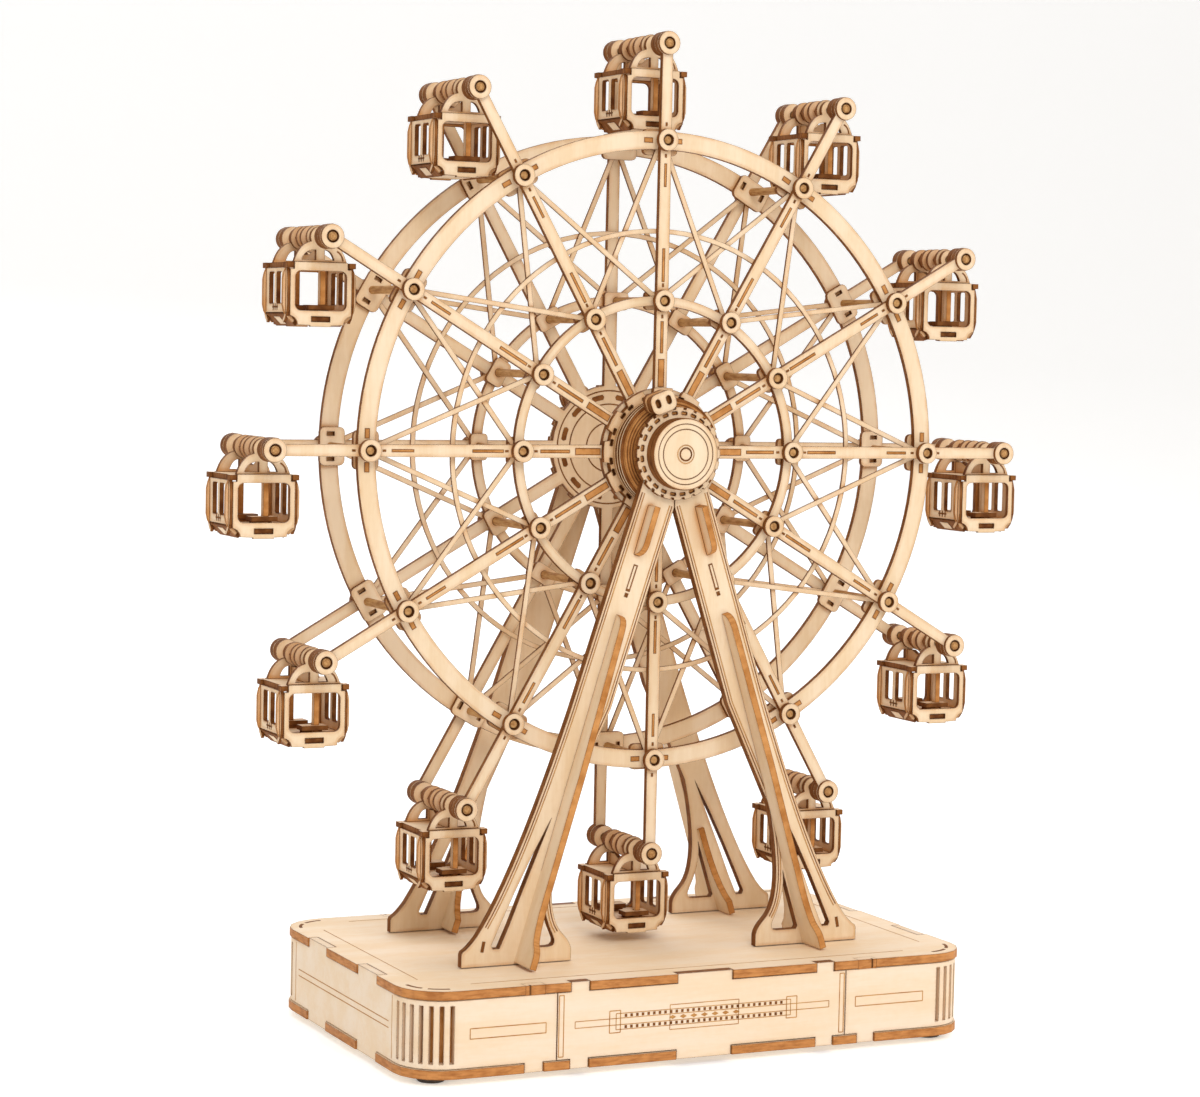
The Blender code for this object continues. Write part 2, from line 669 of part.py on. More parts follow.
def leg_outline():
    """A leg's edge from the flare of its foot round the notch, the head and the half bore"""
    head_angle, slope = leg_head()
    split_height = LEG_STRAIGHT_HEIGHT + (LEG_STRAIGHT_X - LEG_WIDTH) / slope
    slot_half = LEG_PLY / 2 / math.cos(leg_lean()) + FIT
    slot_top = GUSSET_HEIGHT + 2 * FIT
    toe = TOE_HEIGHT - TOE_CORNER
    outer_flare = bend((LEG_STRAIGHT_X, LEG_STRAIGHT_HEIGHT), OUTER_FLARE_PULL, OUTER_FLARE_END, 4)
    outer_toe = [(FOOT_OUTER_X - TOE_CORNER / 2, TOE_HEIGHT), (FOOT_OUTER_X, toe), (FOOT_OUTER_X, FIT)]
    slot = [(leg_line(0) + slot_half, FIT), (leg_line(slot_top) + slot_half, slot_top),
            (leg_line(slot_top) - slot_half, slot_top), (leg_line(0) - slot_half, FIT)]
    inner_toe = [(FOOT_INNER_X, FIT), (FOOT_INNER_X, toe)]
    inner_flare = bend(INNER_FLARE_END, INNER_FLARE_PULL, INNER_FLARE_START, 3)
    straight = [(LEG_STRAIGHT_X - LEG_WIDTH, LEG_STRAIGHT_HEIGHT), (FIT / 2, split_height)]
    bore_radius = (AXLE_RADIUS + RUNNING_FIT) / math.cos(math.pi / 8)
    bore_end = math.acos(FIT / 2 / bore_radius)
    half_bore = arc((0, HUB_HEIGHT), bore_radius, -bore_end, bore_end, 4)
    head_start = math.acos(FIT / 2 / LEG_HEAD_RADIUS)
    head = arc((0, HUB_HEIGHT), LEG_HEAD_RADIUS, head_start, head_angle, 3)
    return outer_flare + outer_toe + slot + inner_toe + inner_flare + straight + half_bore + head


def leg_plate(side, hand):
    """One leg of a stand, flat to the front, with slender cut-outs and a short rib at its head"""
    loops = [leg_outline(), LEG_SLIT, LEG_WINDOW]
    flip = [[(hand * x, z - HUB_HEIGHT) for x, z in loop] for loop in loops]
    plate = sheet(flip, LEG_PLY, FACING_Y, (0, side * (LEG_IN + LEG_OUT) / 2, 0))
    return fuse(plate, [head_rib(side, hand)])


def fin_frame(side, hand):
    """Axes of a fin: along the leg, out from the wheel, and through the sheet"""
    lean = leg_lean()
    along = Vector((-hand * math.sin(lean), 0, math.cos(lean)))
    outward = Vector((0, side, 0))
    through = along.cross(outward)
    foot = Vector((hand * leg_line(0), 0, -HUB_HEIGHT))
    frame = Matrix((along, outward, through)).transposed().to_4x4()
    return Matrix.Translation(foot) @ frame


def head_rib(side, hand):
    """The short upper rib, just under the bearing plate"""
    length = HEAD_RIB_END - HEAD_RIB_START
    middle = (HUB_HEIGHT - (HEAD_RIB_START + HEAD_RIB_END) / 2) / math.cos(leg_lean())
    sunk = LEG_PLY / 2
    depth = RIB_HEIGHT + sunk
    outline = rectangle(length, depth, (middle, LEG_OUT - sunk + depth / 2))
    return sheet([outline], LEG_PLY, fin_frame(side, hand), (0, 0, 0))


def leg_fin(side, hand):
    """The cross piece of a leg: a rib up its outer face and a short gusset behind it"""
    low = FIT + LEG_PLY / 2 * math.tan(leg_lean())
    rib_in = LEG_OUT + FIT
    rib_out = LEG_OUT + RIB_HEIGHT
    toe_out = LEG_OUT + RIB_TOE
    inner_face = LEG_IN - FIT
    outer = bend((RIB_SWELL_HEIGHT, rib_out + RIB_SWELL), (RIB_BEND_HEIGHT, rib_out + RIB_SWELL),
                 (TOE_HEIGHT + TOE_CORNER, toe_out - TOE_CORNER), 4)
    inner = bend((TOE_HEIGHT, LEG_IN - GUSSET_TOE), (GUSSET_BEND_HEIGHT, inner_face - GUSSET_SETBACK),
                 (GUSSET_HEIGHT, inner_face - GUSSET_SETBACK), 4)
    outline = [(low, toe_out), (TOE_HEIGHT, toe_out)]
    outline += list(reversed(outer)) + [(RIB_LENGTH, rib_out), (RIB_LENGTH, rib_in), (GUSSET_HEIGHT, rib_in)]
    outline += list(reversed(inner)) + [(low, LEG_IN - GUSSET_TOE)]
    return sheet([outline], LEG_PLY, fin_frame(side, hand), (0, 0, 0))


def bearing_plate(side):
    """The round plate that closes the stand's head round the axle, with a lug at its top"""
    hole = bore(AXLE_RADIUS + RUNNING_FIT, 12)
    middle = (0, side * (BEARING_IN + BEARING_OUT) / 2, 0)
    plate = sheet([circle(BEARING_RADIUS, BEARING_STEPS), hole], PLY, FACING_Y, middle)
    lug_in, lug_out = LEG_IN + FIT, BEARING_OUT + LUG_STEP
    turn = math.pi / 2 + LUG_ANGLE
    spread = LUG_WIDTH / 2 / LUG_RADIUS
    lug = arc((0, 0), LUG_RADIUS, turn - spread, turn + spread, 4)
    lug += arc((0, 0), BEARING_RADIUS - LUG_ROOT, turn + spread, turn - spread, 2)
    eye_radius = (LUG_RADIUS + BEARING_RADIUS) / 2
    eyes = []
    for shift in (-0.5, 0.5):
        angle = turn + shift * spread
        eyes.append(circle(LUG_EYE, 6, (eye_radius * math.cos(angle), eye_radius * math.sin(angle))))
    lug_middle = (0, side * (lug_in + lug_out) / 2, 0)
    return fuse(plate, [sheet([lug] + eyes, lug_out - lug_in, FACING_Y, lug_middle)])


# The base box, about the middle of its foot print

def wall_tabs():
    """Every tab of the walls: middle x, y and size along x and y"""
    wall_y = BACK_WALL_OUT - BASE_PLY / 2
    wall_x = BASE_LENGTH / 2 - PLATE_OVERHANG - BASE_PLY / 2
    panel, ends = [], []
    for side in (-1, 1):
        panel.append((0, side * wall_y, CENTRE_TAB, BASE_PLY))
        for hand in (-1, 1):
            panel.append((hand * SEAM_TAB_X, side * wall_y, SEAM_TAB, BASE_PLY))
            ends.append((hand * (2 * SEAM_X - SEAM_TAB_X), side * wall_y, SEAM_TAB, BASE_PLY))
            ends.append((hand * wall_x, side * SIDE_TAB_Y, BASE_PLY, SIDE_TAB))
    return panel, ends


def base_plate(low):
    """Top or bottom of the box, notched round its edge for the tabs of the walls"""
    outline = rounded_rectangle(BASE_LENGTH, BASE_DEPTH, BASE_CORNER, 5)
    plate = sheet([outline], BASE_PLY, FACING_Z, (0, 0, low + BASE_PLY / 2))
    panel, ends = wall_tabs()
    reach = PLATE_OVERHANG + 2 * FIT
    cutters = []
    for x, y, length, depth in panel + ends:
        out_x = math.copysign(reach / 2, x) if length == BASE_PLY else 0
        out_y = math.copysign(reach / 2, y) if depth == BASE_PLY else 0
        size = (length + 2 * FIT + 2 * abs(out_x), depth + 2 * FIT + 2 * abs(out_y), 2 * BASE_PLY)
        cutters.append(block(size, (x + out_x, y + out_y, low + BASE_PLY / 2)))
    return cut(plate, cutters)


def tabbed_outline(half_length, low, high, tabs):
    """A panel's outline in x and z, with its tabs standing up and down through the plates"""
    step = BASE_PLY + FIT
    upper = [(-half_length, high)]
    for middle, width in tabs:
        left, right = middle - width / 2, middle + width / 2
        upper += [(left, high), (left, high + step), (right, high + step), (right, high)]
    upper.append((half_length, high))
    lower = [(x, low + high - z) for x, z in reversed(upper)]
    return upper + lower


def base_panel(side):
    """The long front or back panel between the two seams"""
    low = FOOT_HEIGHT + BASE_PLY + FIT
    high = BASE_TOP - BASE_PLY - FIT
    tabs = [(-SEAM_TAB_X, SEAM_TAB), (0, CENTRE_TAB), (SEAM_TAB_X, SEAM_TAB)]
    loops = [tabbed_outline(SEAM_X - FIT / 2, low, high, tabs)]
    if side > 0:
        loops.append(bore(CRANK_SHAFT_RADIUS + RUNNING_FIT, 12, (MOVEMENT_X, CRANK_Z)))
    return sheet(loops, BASE_PLY, FACING_Y, (0, side * (BACK_WALL_OUT - BASE_PLY / 2), 0))


def end_wall(hand):
    """One end of the box: a single sheet bent round both corners by rows of kerf cuts"""
    low = FOOT_HEIGHT + BASE_PLY + FIT
    high = BASE_TOP - BASE_PLY - FIT
    outer_x = BASE_LENGTH / 2 - PLATE_OVERHANG
    radius = BASE_CORNER - PLATE_OVERHANG
    path = []
    for bend_radius in (radius, radius - BASE_PLY):
        line = [(SEAM_X + FIT / 2, -BACK_WALL_OUT + radius - bend_radius)]
        for turn in (-1, 1):
            centre = (outer_x - radius, turn * (BACK_WALL_OUT - radius))
            start = -90 if turn < 0 else 0
            line += arc(centre, bend_radius, math.radians(start), math.radians(start + 90), KERF_COUNT)
        line.append((SEAM_X + FIT / 2, BACK_WALL_OUT - radius + bend_radius))
        path.append(line)
    outline = [(hand * x, y) for x, y in path[0] + list(reversed(path[1]))]
    wall = sheet([outline], high - low, FACING_Z, (0, 0, (low + high) / 2))
    tabs = []
    for x, y, length, depth in wall_tabs()[1]:
        if x * hand > 0:
            height = BASE_HEIGHT
            tabs.append(block((length, depth, height), (x, y, FOOT_HEIGHT + height / 2)))
    wall = fuse(wall, tabs)
    kerfs = []
    for turn in (-1, 1):
        centre = Vector((hand * (outer_x - radius), turn * (BACK_WALL_OUT - radius), (low + high) / 2))
        for i in range(KERF_COUNT):
            angle = math.radians(90) * (i + 0.5) / KERF_COUNT
            out = Vector((hand * math.cos(angle), turn * math.sin(angle), 0))
            spin = Matrix.Rotation(math.atan2(out.y, out.x), 4, "Z")
            place = Matrix.Translation(centre + out * (radius - BASE_PLY / 2)) @ spin
            kerf = block((2 * BASE_PLY, KERF_WIDTH, KERF_HEIGHT), (0, 0, 0))
            kerf.data.transform(place)
            kerfs.append(kerf)
    return cut(wall, kerfs)


def rubber_foot(x, y):
    height = FOOT_HEIGHT - FIT
    return rod(FOOT_RADIUS, height, 10, FACING_Z, (x, y, height / 2))


# The music movement and its crank

def movement_frame():
    """Bed plate with the two cylinder bearings, the crank bearing and the comb's rest"""
    left = CYLINDER_START - CYLINDER_LENGTH - BEARING_GAP - BRACKET / 2
    right = GEAR_WIDTH / 2 + BEARING_GAP + BRACKET / 2
    bed_x = (left + right) / 2
    bed = block((right - left + 3 * BRACKET, BED_DEPTH, BED_THICKNESS),
                (MOVEMENT_X + bed_x, BED_Y, BED_Z + BED_THICKNESS / 2))
    sunk = BED_Z + BED_THICKNESS / 2
    pieces = []
    for x in (left, right):
        top = CYLINDER_Z + BEARING_TOP
        outline = rectangle(BRACKET_WIDTH, top - sunk, (CYLINDER_Y, (top + sunk) / 2))
        hole = bore(CYLINDER_AXLE_RADIUS + RUNNING_FIT, 8, (CYLINDER_Y, CYLINDER_Z))
        pieces.append(sheet([outline, hole], BRACKET, FACING_X, (MOVEMENT_X + x, 0, 0)))
    top = CRANK_Z + BEARING_TOP
    outline = rectangle(BRACKET_WIDTH, top - sunk, (MOVEMENT_X, (top + sunk) / 2))
    hole = bore(CRANK_SHAFT_RADIUS + RUNNING_FIT, 8, (MOVEMENT_X, CRANK_Z))
    pieces.append(sheet([outline, hole], BRACKET, FACING_Y, (0, CYLINDER_Y - SHAFT_BEARING_DISTANCE, 0)))
    rest_top = CYLINDER_Z - COMB_THICKNESS / 2 - FIT
    pieces.append(block((COMB_TEETH * COMB_TOOTH_PITCH, COMB_ROOT, rest_top - sunk),
                        (COMB_X, COMB_Y - COMB_ROOT / 2, (rest_top + sunk) / 2)))
    return fuse(bed, pieces)


def music_comb():
    """The steel comb: its teeth point at the cylinder, its root is screwed to the rest"""
    width = COMB_TEETH * COMB_TOOTH_PITCH
    left = COMB_X - width / 2
    outline = [(left + width, COMB_Y - COMB_ROOT), (left + width, COMB_Y)]
    for i in reversed(range(COMB_TEETH)):
        middle = left + (i + 0.5) * COMB_TOOTH_PITCH
        half = COMB_TOOTH_WIDTH / 2
        length = COMB_TOOTH_LENGTH - COMB_TAPER * i
        outline += [(middle + half, COMB_Y), (middle + half, COMB_Y + length),
                    (middle - half, COMB_Y + length), (middle - half, COMB_Y)]
    outline += [(left, COMB_Y), (left, COMB_Y - COMB_ROOT)]
    return sheet([outline], COMB_THICKNESS, FACING_Z, (0, 0, CYLINDER_Z))


def pinned_cylinder():
    """The brass cylinder with its axle and the gear that the crank's worm drives"""
    end = -(CYLINDER_START - CYLINDER_LENGTH)
    inner = -CYLINDER_START
    tip = BEARING_GAP + BRACKET
    profile = [(0, end + tip), (CYLINDER_AXLE_RADIUS, end + tip), (CYLINDER_AXLE_RADIUS, end),
               (CYLINDER_RADIUS, end), (CYLINDER_RADIUS, inner), (CYLINDER_AXLE_RADIUS, inner),
               (CYLINDER_AXLE_RADIUS, -GEAR_WIDTH / 2 - tip), (0, -GEAR_WIDTH / 2 - tip)]
    body = turned(profile, 10, Matrix.Rotation(-math.pi / 2, 4, "Y"), (0, 0, 0))
    gear = sheet([toothed_circle(GEAR_RADIUS, GEAR_TEETH, GEAR_TOOTH, 0.5)], GEAR_WIDTH, FACING_X, (0, 0, 0))
    return fuse(body, [gear])


def crank():
    """Shaft with its worm, the flat arm outside the back wall and the pin for the knob"""
    inner_end = CYLINDER_Y - SHAFT_BEARING_DISTANCE - BRACKET / 2 - BACK_WALL_OUT
    worm_middle = CYLINDER_Y - BACK_WALL_OUT
    worm_start, worm_end = worm_middle - WORM_LENGTH / 2, worm_middle + WORM_LENGTH / 2
    arm_middle = CRANK_STANDOFF + CRANK_ARM_THICKNESS / 2
    profile = [(0, arm_middle), (CRANK_SHAFT_RADIUS, arm_middle), (CRANK_SHAFT_RADIUS, worm_end),
               (WORM_RADIUS, worm_end), (WORM_RADIUS, worm_start), (CRANK_SHAFT_RADIUS, worm_start),
               (CRANK_SHAFT_RADIUS, inner_end), (0, inner_end)]
    shaft = turned(profile, 8, Matrix.Rotation(-math.pi / 2, 4, "X"), (0, 0, 0))
    half = CRANK_ARM_WIDTH / 2
    outline = arc((0, 0), half, 0, math.pi, 6) + arc((0, -CRANK_ARM), half, math.pi, 2 * math.pi, 6)
    arm = sheet([outline], CRANK_ARM_THICKNESS, FACING_Y, (0, arm_middle, 0))
    pin_middle = (0, arm_middle + CRANK_PIN_LENGTH / 2, -CRANK_ARM)
    pin = rod(CRANK_PIN_RADIUS, CRANK_PIN_LENGTH, 8, FACING_Y, pin_middle)
    return fuse(shaft, [arm, pin])


def crank_knob():
    """The turned wooden grip on the crank's pin"""
    hole = CRANK_PIN_RADIUS + FIT
    arm_out = CRANK_STANDOFF + CRANK_ARM_THICKNESS
    start, end = arm_out + FIT, arm_out + CRANK_KNOB_LENGTH
    bottom = arm_out - CRANK_ARM_THICKNESS / 2 + CRANK_PIN_LENGTH + FIT
    neck = start + CRANK_KNOB_ROUND
    profile = [(0, end), (CRANK_KNOB_RADIUS - CRANK_KNOB_ROUND, end),
               (CRANK_KNOB_RADIUS, end - CRANK_KNOB_ROUND), (CRANK_KNOB_RADIUS, end - CRANK_KNOB_HEAD),
               (CRANK_KNOB_WAIST, neck), (CRANK_KNOB_WAIST, start), (hole, start),
               (hole, bottom), (0, bottom)]
    return turned(profile, 10, Matrix.Rotation(-math.pi / 2, 4, "X"), (0, 0, -CRANK_ARM))


# Assembly

SIDES = ((-1, "front"), (1, "rear"))
HANDS = ((-1, "left"), (1, "right"))


def build_wheel(hub):
    for side, name in SIDES:
        as_piece(spoke_star(side), name + "_spoke_star", PALE_WOOD, parent=hub)
        as_piece(rim(side), name + "_rim", PALE_WOOD, parent=hub)
        as_piece(lattice(side), name + "_lattice", PALE_WOOD, parent=hub)
        as_piece(hub_drum(side), name + "_hub_drum", WARM_WOOD, parent=hub)
        as_piece(hub_knob(side), name + "_hub_knob", PALE_WOOD, parent=hub)
    as_piece(main_axle(), "main_axle", BROWN_WOOD, parent=hub)


def build_cabins(hub):
    """Twelve like cabins and axles, each pair on its own pivot"""
    cabin_mesh = as_piece(cabin(), "cabin_01", PALE_WOOD).data
    axle_mesh = as_piece(cabin_axle(), "cabin_axle_01", BROWN_WOOD).data
    for k in range(CABIN_COUNT):
        number = "%02d" % (k + 1)
        x, z = polar(PIVOT_RADIUS, k * STEP_ANGLE)
        pivot = make_empty("cabin_pivot_" + number, (x, 0, z), hub)
        for name, mesh in (("cabin_", cabin_mesh), ("cabin_axle_", axle_mesh)):
            body = bpy.data.objects.get(name + number)
            if body is None:
                body = bpy.data.objects.new(name + number, mesh)
                PARTS.objects.link(body)
            body.parent = pivot


def build_stands(hub):
    for side, side_name in SIDES:
        for hand, hand_name in HANDS:
            name = side_name + "_" + hand_name
            as_piece(leg_plate(side, hand), name + "_leg_plate", PALE_WOOD, parent=hub)
            as_piece(leg_fin(side, hand), name + "_leg_fin", WARM_WOOD, parent=hub)
        as_piece(bearing_plate(side), side_name + "_bearing_plate", PALE_WOOD, parent=hub)


def build_base(kit):
    as_piece(base_plate(FOOT_HEIGHT), "base_bottom_plate", PALE_WOOD, parent=kit)
    as_piece(base_plate(BASE_TOP - BASE_PLY), "base_top_plate", PALE_WOOD, parent=kit)
    for side, name in ((-1, "base_front_panel"), (1, "base_back_panel")):
        as_piece(base_panel(side), name, PALE_WOOD, parent=kit)
    for hand, name in HANDS:
        as_piece(end_wall(hand), "base_" + name + "_wall", PALE_WOOD, parent=kit)
    foot_x = BASE_LENGTH / 2 - FOOT_INSET
    foot_y = BASE_DEPTH / 2 - FOOT_INSET
    for side, side_name in SIDES:
        for hand, hand_name in HANDS:
            name = "rubber_foot_" + side_name + "_" + hand_name
            as_piece(rubber_foot(hand * foot_x, side * foot_y), name, RUBBER, 0.8, parent=kit)


def build_movement(kit):
    as_piece(movement_frame(), "movement_frame", STEEL, 0.45, 0.9, kit)
    as_piece(music_comb(), "music_comb", STEEL, 0.3, 1.0, kit)
    cylinder_axis = make_empty("cylinder_axis", (MOVEMENT_X, CYLINDER_Y, CYLINDER_Z), kit)
    as_piece(pinned_cylinder(), "pinned_cylinder", BRASS, 0.35, 1.0, cylinder_axis)
    crank_axis = make_empty("crank_axis", (MOVEMENT_X, BACK_WALL_OUT, CRANK_Z), kit)
    as_piece(crank(), "crank", STEEL, 0.3, 1.0, crank_axis)
    as_piece(crank_knob(), "crank_knob", PALE_WOOD, parent=crank_axis)


clear_scene()
PARTS = make_collection("wooden_ferris_wheel")
CUTTERS = make_collection("cutters")
KIT = make_empty("kit", (0, MID_Y, 0))
HUB = make_empty("hub", (0, 0, HUB_Z), KIT)
build_wheel(HUB)
build_cabins(HUB)
build_stands(HUB)
build_base(KIT)
build_movement(KIT)
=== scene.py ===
"""Looks of the wooden ferris wheel model kit: burnt-edged plywood, cabins, hub and base."""

import json
import math

import bpy
import bmesh
from mathutils import Matrix, Vector


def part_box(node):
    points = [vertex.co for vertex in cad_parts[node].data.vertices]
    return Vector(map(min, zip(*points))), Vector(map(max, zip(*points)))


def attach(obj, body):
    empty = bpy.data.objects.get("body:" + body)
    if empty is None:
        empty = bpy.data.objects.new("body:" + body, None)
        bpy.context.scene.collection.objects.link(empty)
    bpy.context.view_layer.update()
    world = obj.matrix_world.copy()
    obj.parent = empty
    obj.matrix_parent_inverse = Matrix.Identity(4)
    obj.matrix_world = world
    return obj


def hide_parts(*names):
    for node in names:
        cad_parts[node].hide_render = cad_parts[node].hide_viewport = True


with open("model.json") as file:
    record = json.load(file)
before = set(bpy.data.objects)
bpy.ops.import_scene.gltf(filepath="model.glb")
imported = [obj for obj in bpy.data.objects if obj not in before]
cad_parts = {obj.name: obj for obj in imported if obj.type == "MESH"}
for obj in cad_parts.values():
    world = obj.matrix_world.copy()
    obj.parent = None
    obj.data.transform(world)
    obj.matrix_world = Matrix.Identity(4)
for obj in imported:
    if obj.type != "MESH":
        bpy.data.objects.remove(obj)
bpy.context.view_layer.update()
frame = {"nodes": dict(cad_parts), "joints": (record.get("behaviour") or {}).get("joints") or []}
JOINTS = {joint["name"]: joint for joint in frame["joints"]}

MM = 0.001
IMAGE_WIDTH = 1200


def joint_place(name):
    """Where a joint turns, in mm"""
    return Vector(JOINTS[name]["pos_m"]) / MM


def node_box(name):
    """The low and high corners of a solid, in mm"""
    low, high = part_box(name)
    return low / MM, high / MM


def depths(name):
    """How far a solid's near and far side are from the wheel's middle"""
    low, high = node_box(name)
    return sorted((abs(low.y - HUB.y), abs(high.y - HUB.y)))


HUB = joint_place("wheel_spin")
BOSS_HEIGHT = 2.0
PLY = 2.0
BOSS_OUT = depths("front_spoke_star")[1]
SPOKE_OUT = BOSS_OUT - BOSS_HEIGHT
SPOKE_IN = SPOKE_OUT - PLY
LATTICE_IN = depths("front_lattice")[0]
RIM_RADIUS = 107.0
RIM_WIDTH = 6.3
INNER_RADIUS = 52.0
PIVOT_RADIUS = 140.0
SPOKE_WIDTH = 4.6
CABIN_COUNT = 12

# Engraved lines are thin burnt strips a hair above the surface
LINE = 0.32
PROUD = 0.03
THIN = 0.08
STEP = 2 * math.pi / CABIN_COUNT

# Camera, fitted to the photograph
CAMERA_PLACE = Vector((-0.4665, -0.9658, 0.2410))
CAMERA_YAW = math.radians(25.41)
CAMERA_PITCH = math.radians(3.85)
CAMERA_ROLL = math.radians(1.22)
CAMERA_FOCAL_PIXELS = 3028
SENSOR = 36.0

# Wood colours
FACE = (0.81, 0.645, 0.46, 1)
WALL_FACE = (0.83, 0.685, 0.53, 1)
PLATE_FACE = (0.90, 0.74, 0.56, 1)
PLATE_CUT = (0.34, 0.12, 0.028, 1)
PLATE_CUT_LIGHT = (0.58, 0.25, 0.075, 1)
# This brown is both the laser smoke halo beside cut edges and the painted shade in a piece's
# corners
HALO_AND_CORNER_SHADE = (0.56, 0.235, 0.045, 1)
BURNT = (0.10, 0.028, 0.005, 1)
BURNT_LIGHT = (0.28, 0.105, 0.026, 1)
# Painted light: cut sides painted lighter where they would face the lamp, a lit copy of the burnt
# side colours
LIT_CUT = (0.39, 0.15, 0.035, 1)
LIT_CUT_LIGHT = (0.60, 0.28, 0.09, 1)
SCORCH = (0.085, 0.025, 0.005, 1)

FACING_Y = Matrix.Rotation(math.pi / 2, 4, "X")
FACING_X = Matrix(((0, 0, 1, 0), (1, 0, 0, 0), (0, 1, 0, 0), (0, 0, 0, 1)))
ALONG_Y = (0, 1, 0)


# Camera, floor and light

def make_camera():
    right = Vector((math.cos(CAMERA_YAW), -math.sin(CAMERA_YAW), 0))
    level = Vector((math.sin(CAMERA_YAW), math.cos(CAMERA_YAW), 0))
    forward = level * math.cos(CAMERA_PITCH) - Vector((0, 0, math.sin(CAMERA_PITCH)))
    up = right.cross(forward)
    rolled_right = right * math.cos(CAMERA_ROLL) + up * math.sin(CAMERA_ROLL)
    rolled_up = up * math.cos(CAMERA_ROLL) - right * math.sin(CAMERA_ROLL)
    data = bpy.data.cameras.new("camera")
    data.sensor_width = SENSOR
    data.lens = CAMERA_FOCAL_PIXELS * SENSOR / IMAGE_WIDTH
    data.clip_start = 0.05
    data.clip_end = 50
    camera = bpy.data.objects.new("camera", data)
    bpy.context.scene.collection.objects.link(camera)
    turn = Matrix((rolled_right, rolled_up, -forward)).transposed().to_4x4()
    camera.matrix_world = Matrix.Translation(CAMERA_PLACE) @ turn
    bpy.context.scene.camera = camera


def make_stage():
    """A pale floor that sweeps up into a backdrop behind the object"""
    half_width, near_end, back, height, sweep = 6.0, -4.0, 3.2, 5.0, 1.6
    profile = [(near_end, 0)]
    for i in range(13):
        angle = math.pi / 2 * i / 12
        profile.append((back - sweep + sweep * math.sin(angle), sweep - sweep * math.cos(angle)))
    profile.append((back, height))
    bm = bmesh.new()
    rows = [[bm.verts.new((x, y, z)) for y, z in profile] for x in (-half_width, half_width)]
    for i in range(len(profile) - 1):
        face = bm.faces.new((rows[0][i], rows[1][i], rows[1][i + 1], rows[0][i + 1]))
        face.smooth = True
    mesh = bpy.data.meshes.new("floor")
    bm.to_mesh(mesh)
    bm.free()
    floor = bpy.data.objects.new("floor", mesh)
    bpy.context.scene.collection.objects.link(floor)
    material, tree, shader = new_material("pale_floor")
    set_inputs(tree, shader, {"Base Color": (0.90, 0.925, 0.96, 1), "Roughness": 0.85,
                              "Specular IOR Level": 0.2, "Emission Color": (1, 1, 1, 1),
                              "Emission Strength": 0.29})
    mesh.materials.append(material)


def make_light(name, place, target, size, power, colour=(1, 1, 1)):
    data = bpy.data.lights.new(name, "AREA")
    data.shape = "RECTANGLE"
    data.size, data.size_y = size
    data.energy = power
    data.color = colour
    light = bpy.data.objects.new(name, data)
    bpy.context.scene.collection.objects.link(light)
    light.location = place
    light.rotation_euler = (Vector(target) - Vector(place)).to_track_quat("-Z", "Y").to_euler()


def make_lighting():
    world = bpy.data.worlds.new("studio")
    bpy.context.scene.world = world
    world.use_nodes = True
    background = world.node_tree.nodes["Background"]
    background.inputs["Color"].default_value = (1.0, 0.925, 0.83, 1)
    background.inputs["Strength"].default_value = 0.58
    target = (0, 0, 0.17)
    make_light("key", (-0.35, -1.75, 1.5), target, (1.3, 1.0), 22, (0.97, 0.985, 1))
    make_light("side_fill", (1.7, -0.9, 0.8), target, (1.2, 1.2), 8, (1, 0.97, 0.93))
    make_light("rim_light", (0.2, 1.8, 1.4), target, (1.8, 1.0), 15)
    bpy.context.scene.view_settings.view_transform = "Standard"


# Shader node groups

# The last reach is how far the painted corner shade (ambient occlusion) looks within the piece
LINE_REACH, HALO_REACH, CORNER_SHADE_REACH = 0.48 * MM, 2.7 * MM, 11 * MM


def new_group(name, inputs, outputs):
    group = bpy.data.node_groups.new(name, "ShaderNodeTree")
    for label, kind, value in inputs:
        socket = group.interface.new_socket(label, in_out="INPUT", socket_type=kind)
        socket.default_value = value
    for label, kind in outputs:
        group.interface.new_socket(label, in_out="OUTPUT", socket_type=kind)
    start = group.nodes.new("NodeGroupInput")
    end = group.nodes.new("NodeGroupOutput")
    return group, start, end


def set_inputs(tree, node, values):
    """Gives a node's inputs plain values, or links from other nodes"""
    for label, value in values.items():
        if isinstance(value, bpy.types.NodeSocket):
            tree.links.new(value, node.inputs[label])
        elif value is not None:
            node.inputs[label].default_value = value


def math_node(tree, operation, a, b=None):
    node = tree.nodes.new("ShaderNodeMath")
    node.operation = operation
    set_inputs(tree, node, {0: a, 1: b})
    return node.outputs["Value"]


def vector_node(tree, operation, a, b):
    node = tree.nodes.new("ShaderNodeVectorMath")
    node.operation = operation
    set_inputs(tree, node, {0: a, 1: b})
    return node.outputs["Value" if operation == "DOT_PRODUCT" else "Vector"]


def noise_node(tree, vector, scale, detail=3.0, roughness=0.55):
    node = tree.nodes.new("ShaderNodeTexNoise")
    set_inputs(tree, node, {"Vector": vector, "Scale": scale, "Detail": detail,
                            "Roughness": roughness})
    return node.outputs["Fac"]


def range_node(tree, value, low, high, to_low=0.0, to_high=1.0):
    node = tree.nodes.new("ShaderNodeMapRange")
    node.interpolation_type = "SMOOTHSTEP"
    set_inputs(tree, node, {"Value": value, "From Min": low, "From Max": high,
                            "To Min": to_low, "To Max": to_high})
    return node.outputs["Result"]


def mix_colours(tree, share, a, b):
    node = tree.nodes.new("ShaderNodeMix")
    node.data_type = "RGBA"
    set_inputs(tree, node, {0: share, 6: a, 7: b})
    return node.outputs[2]


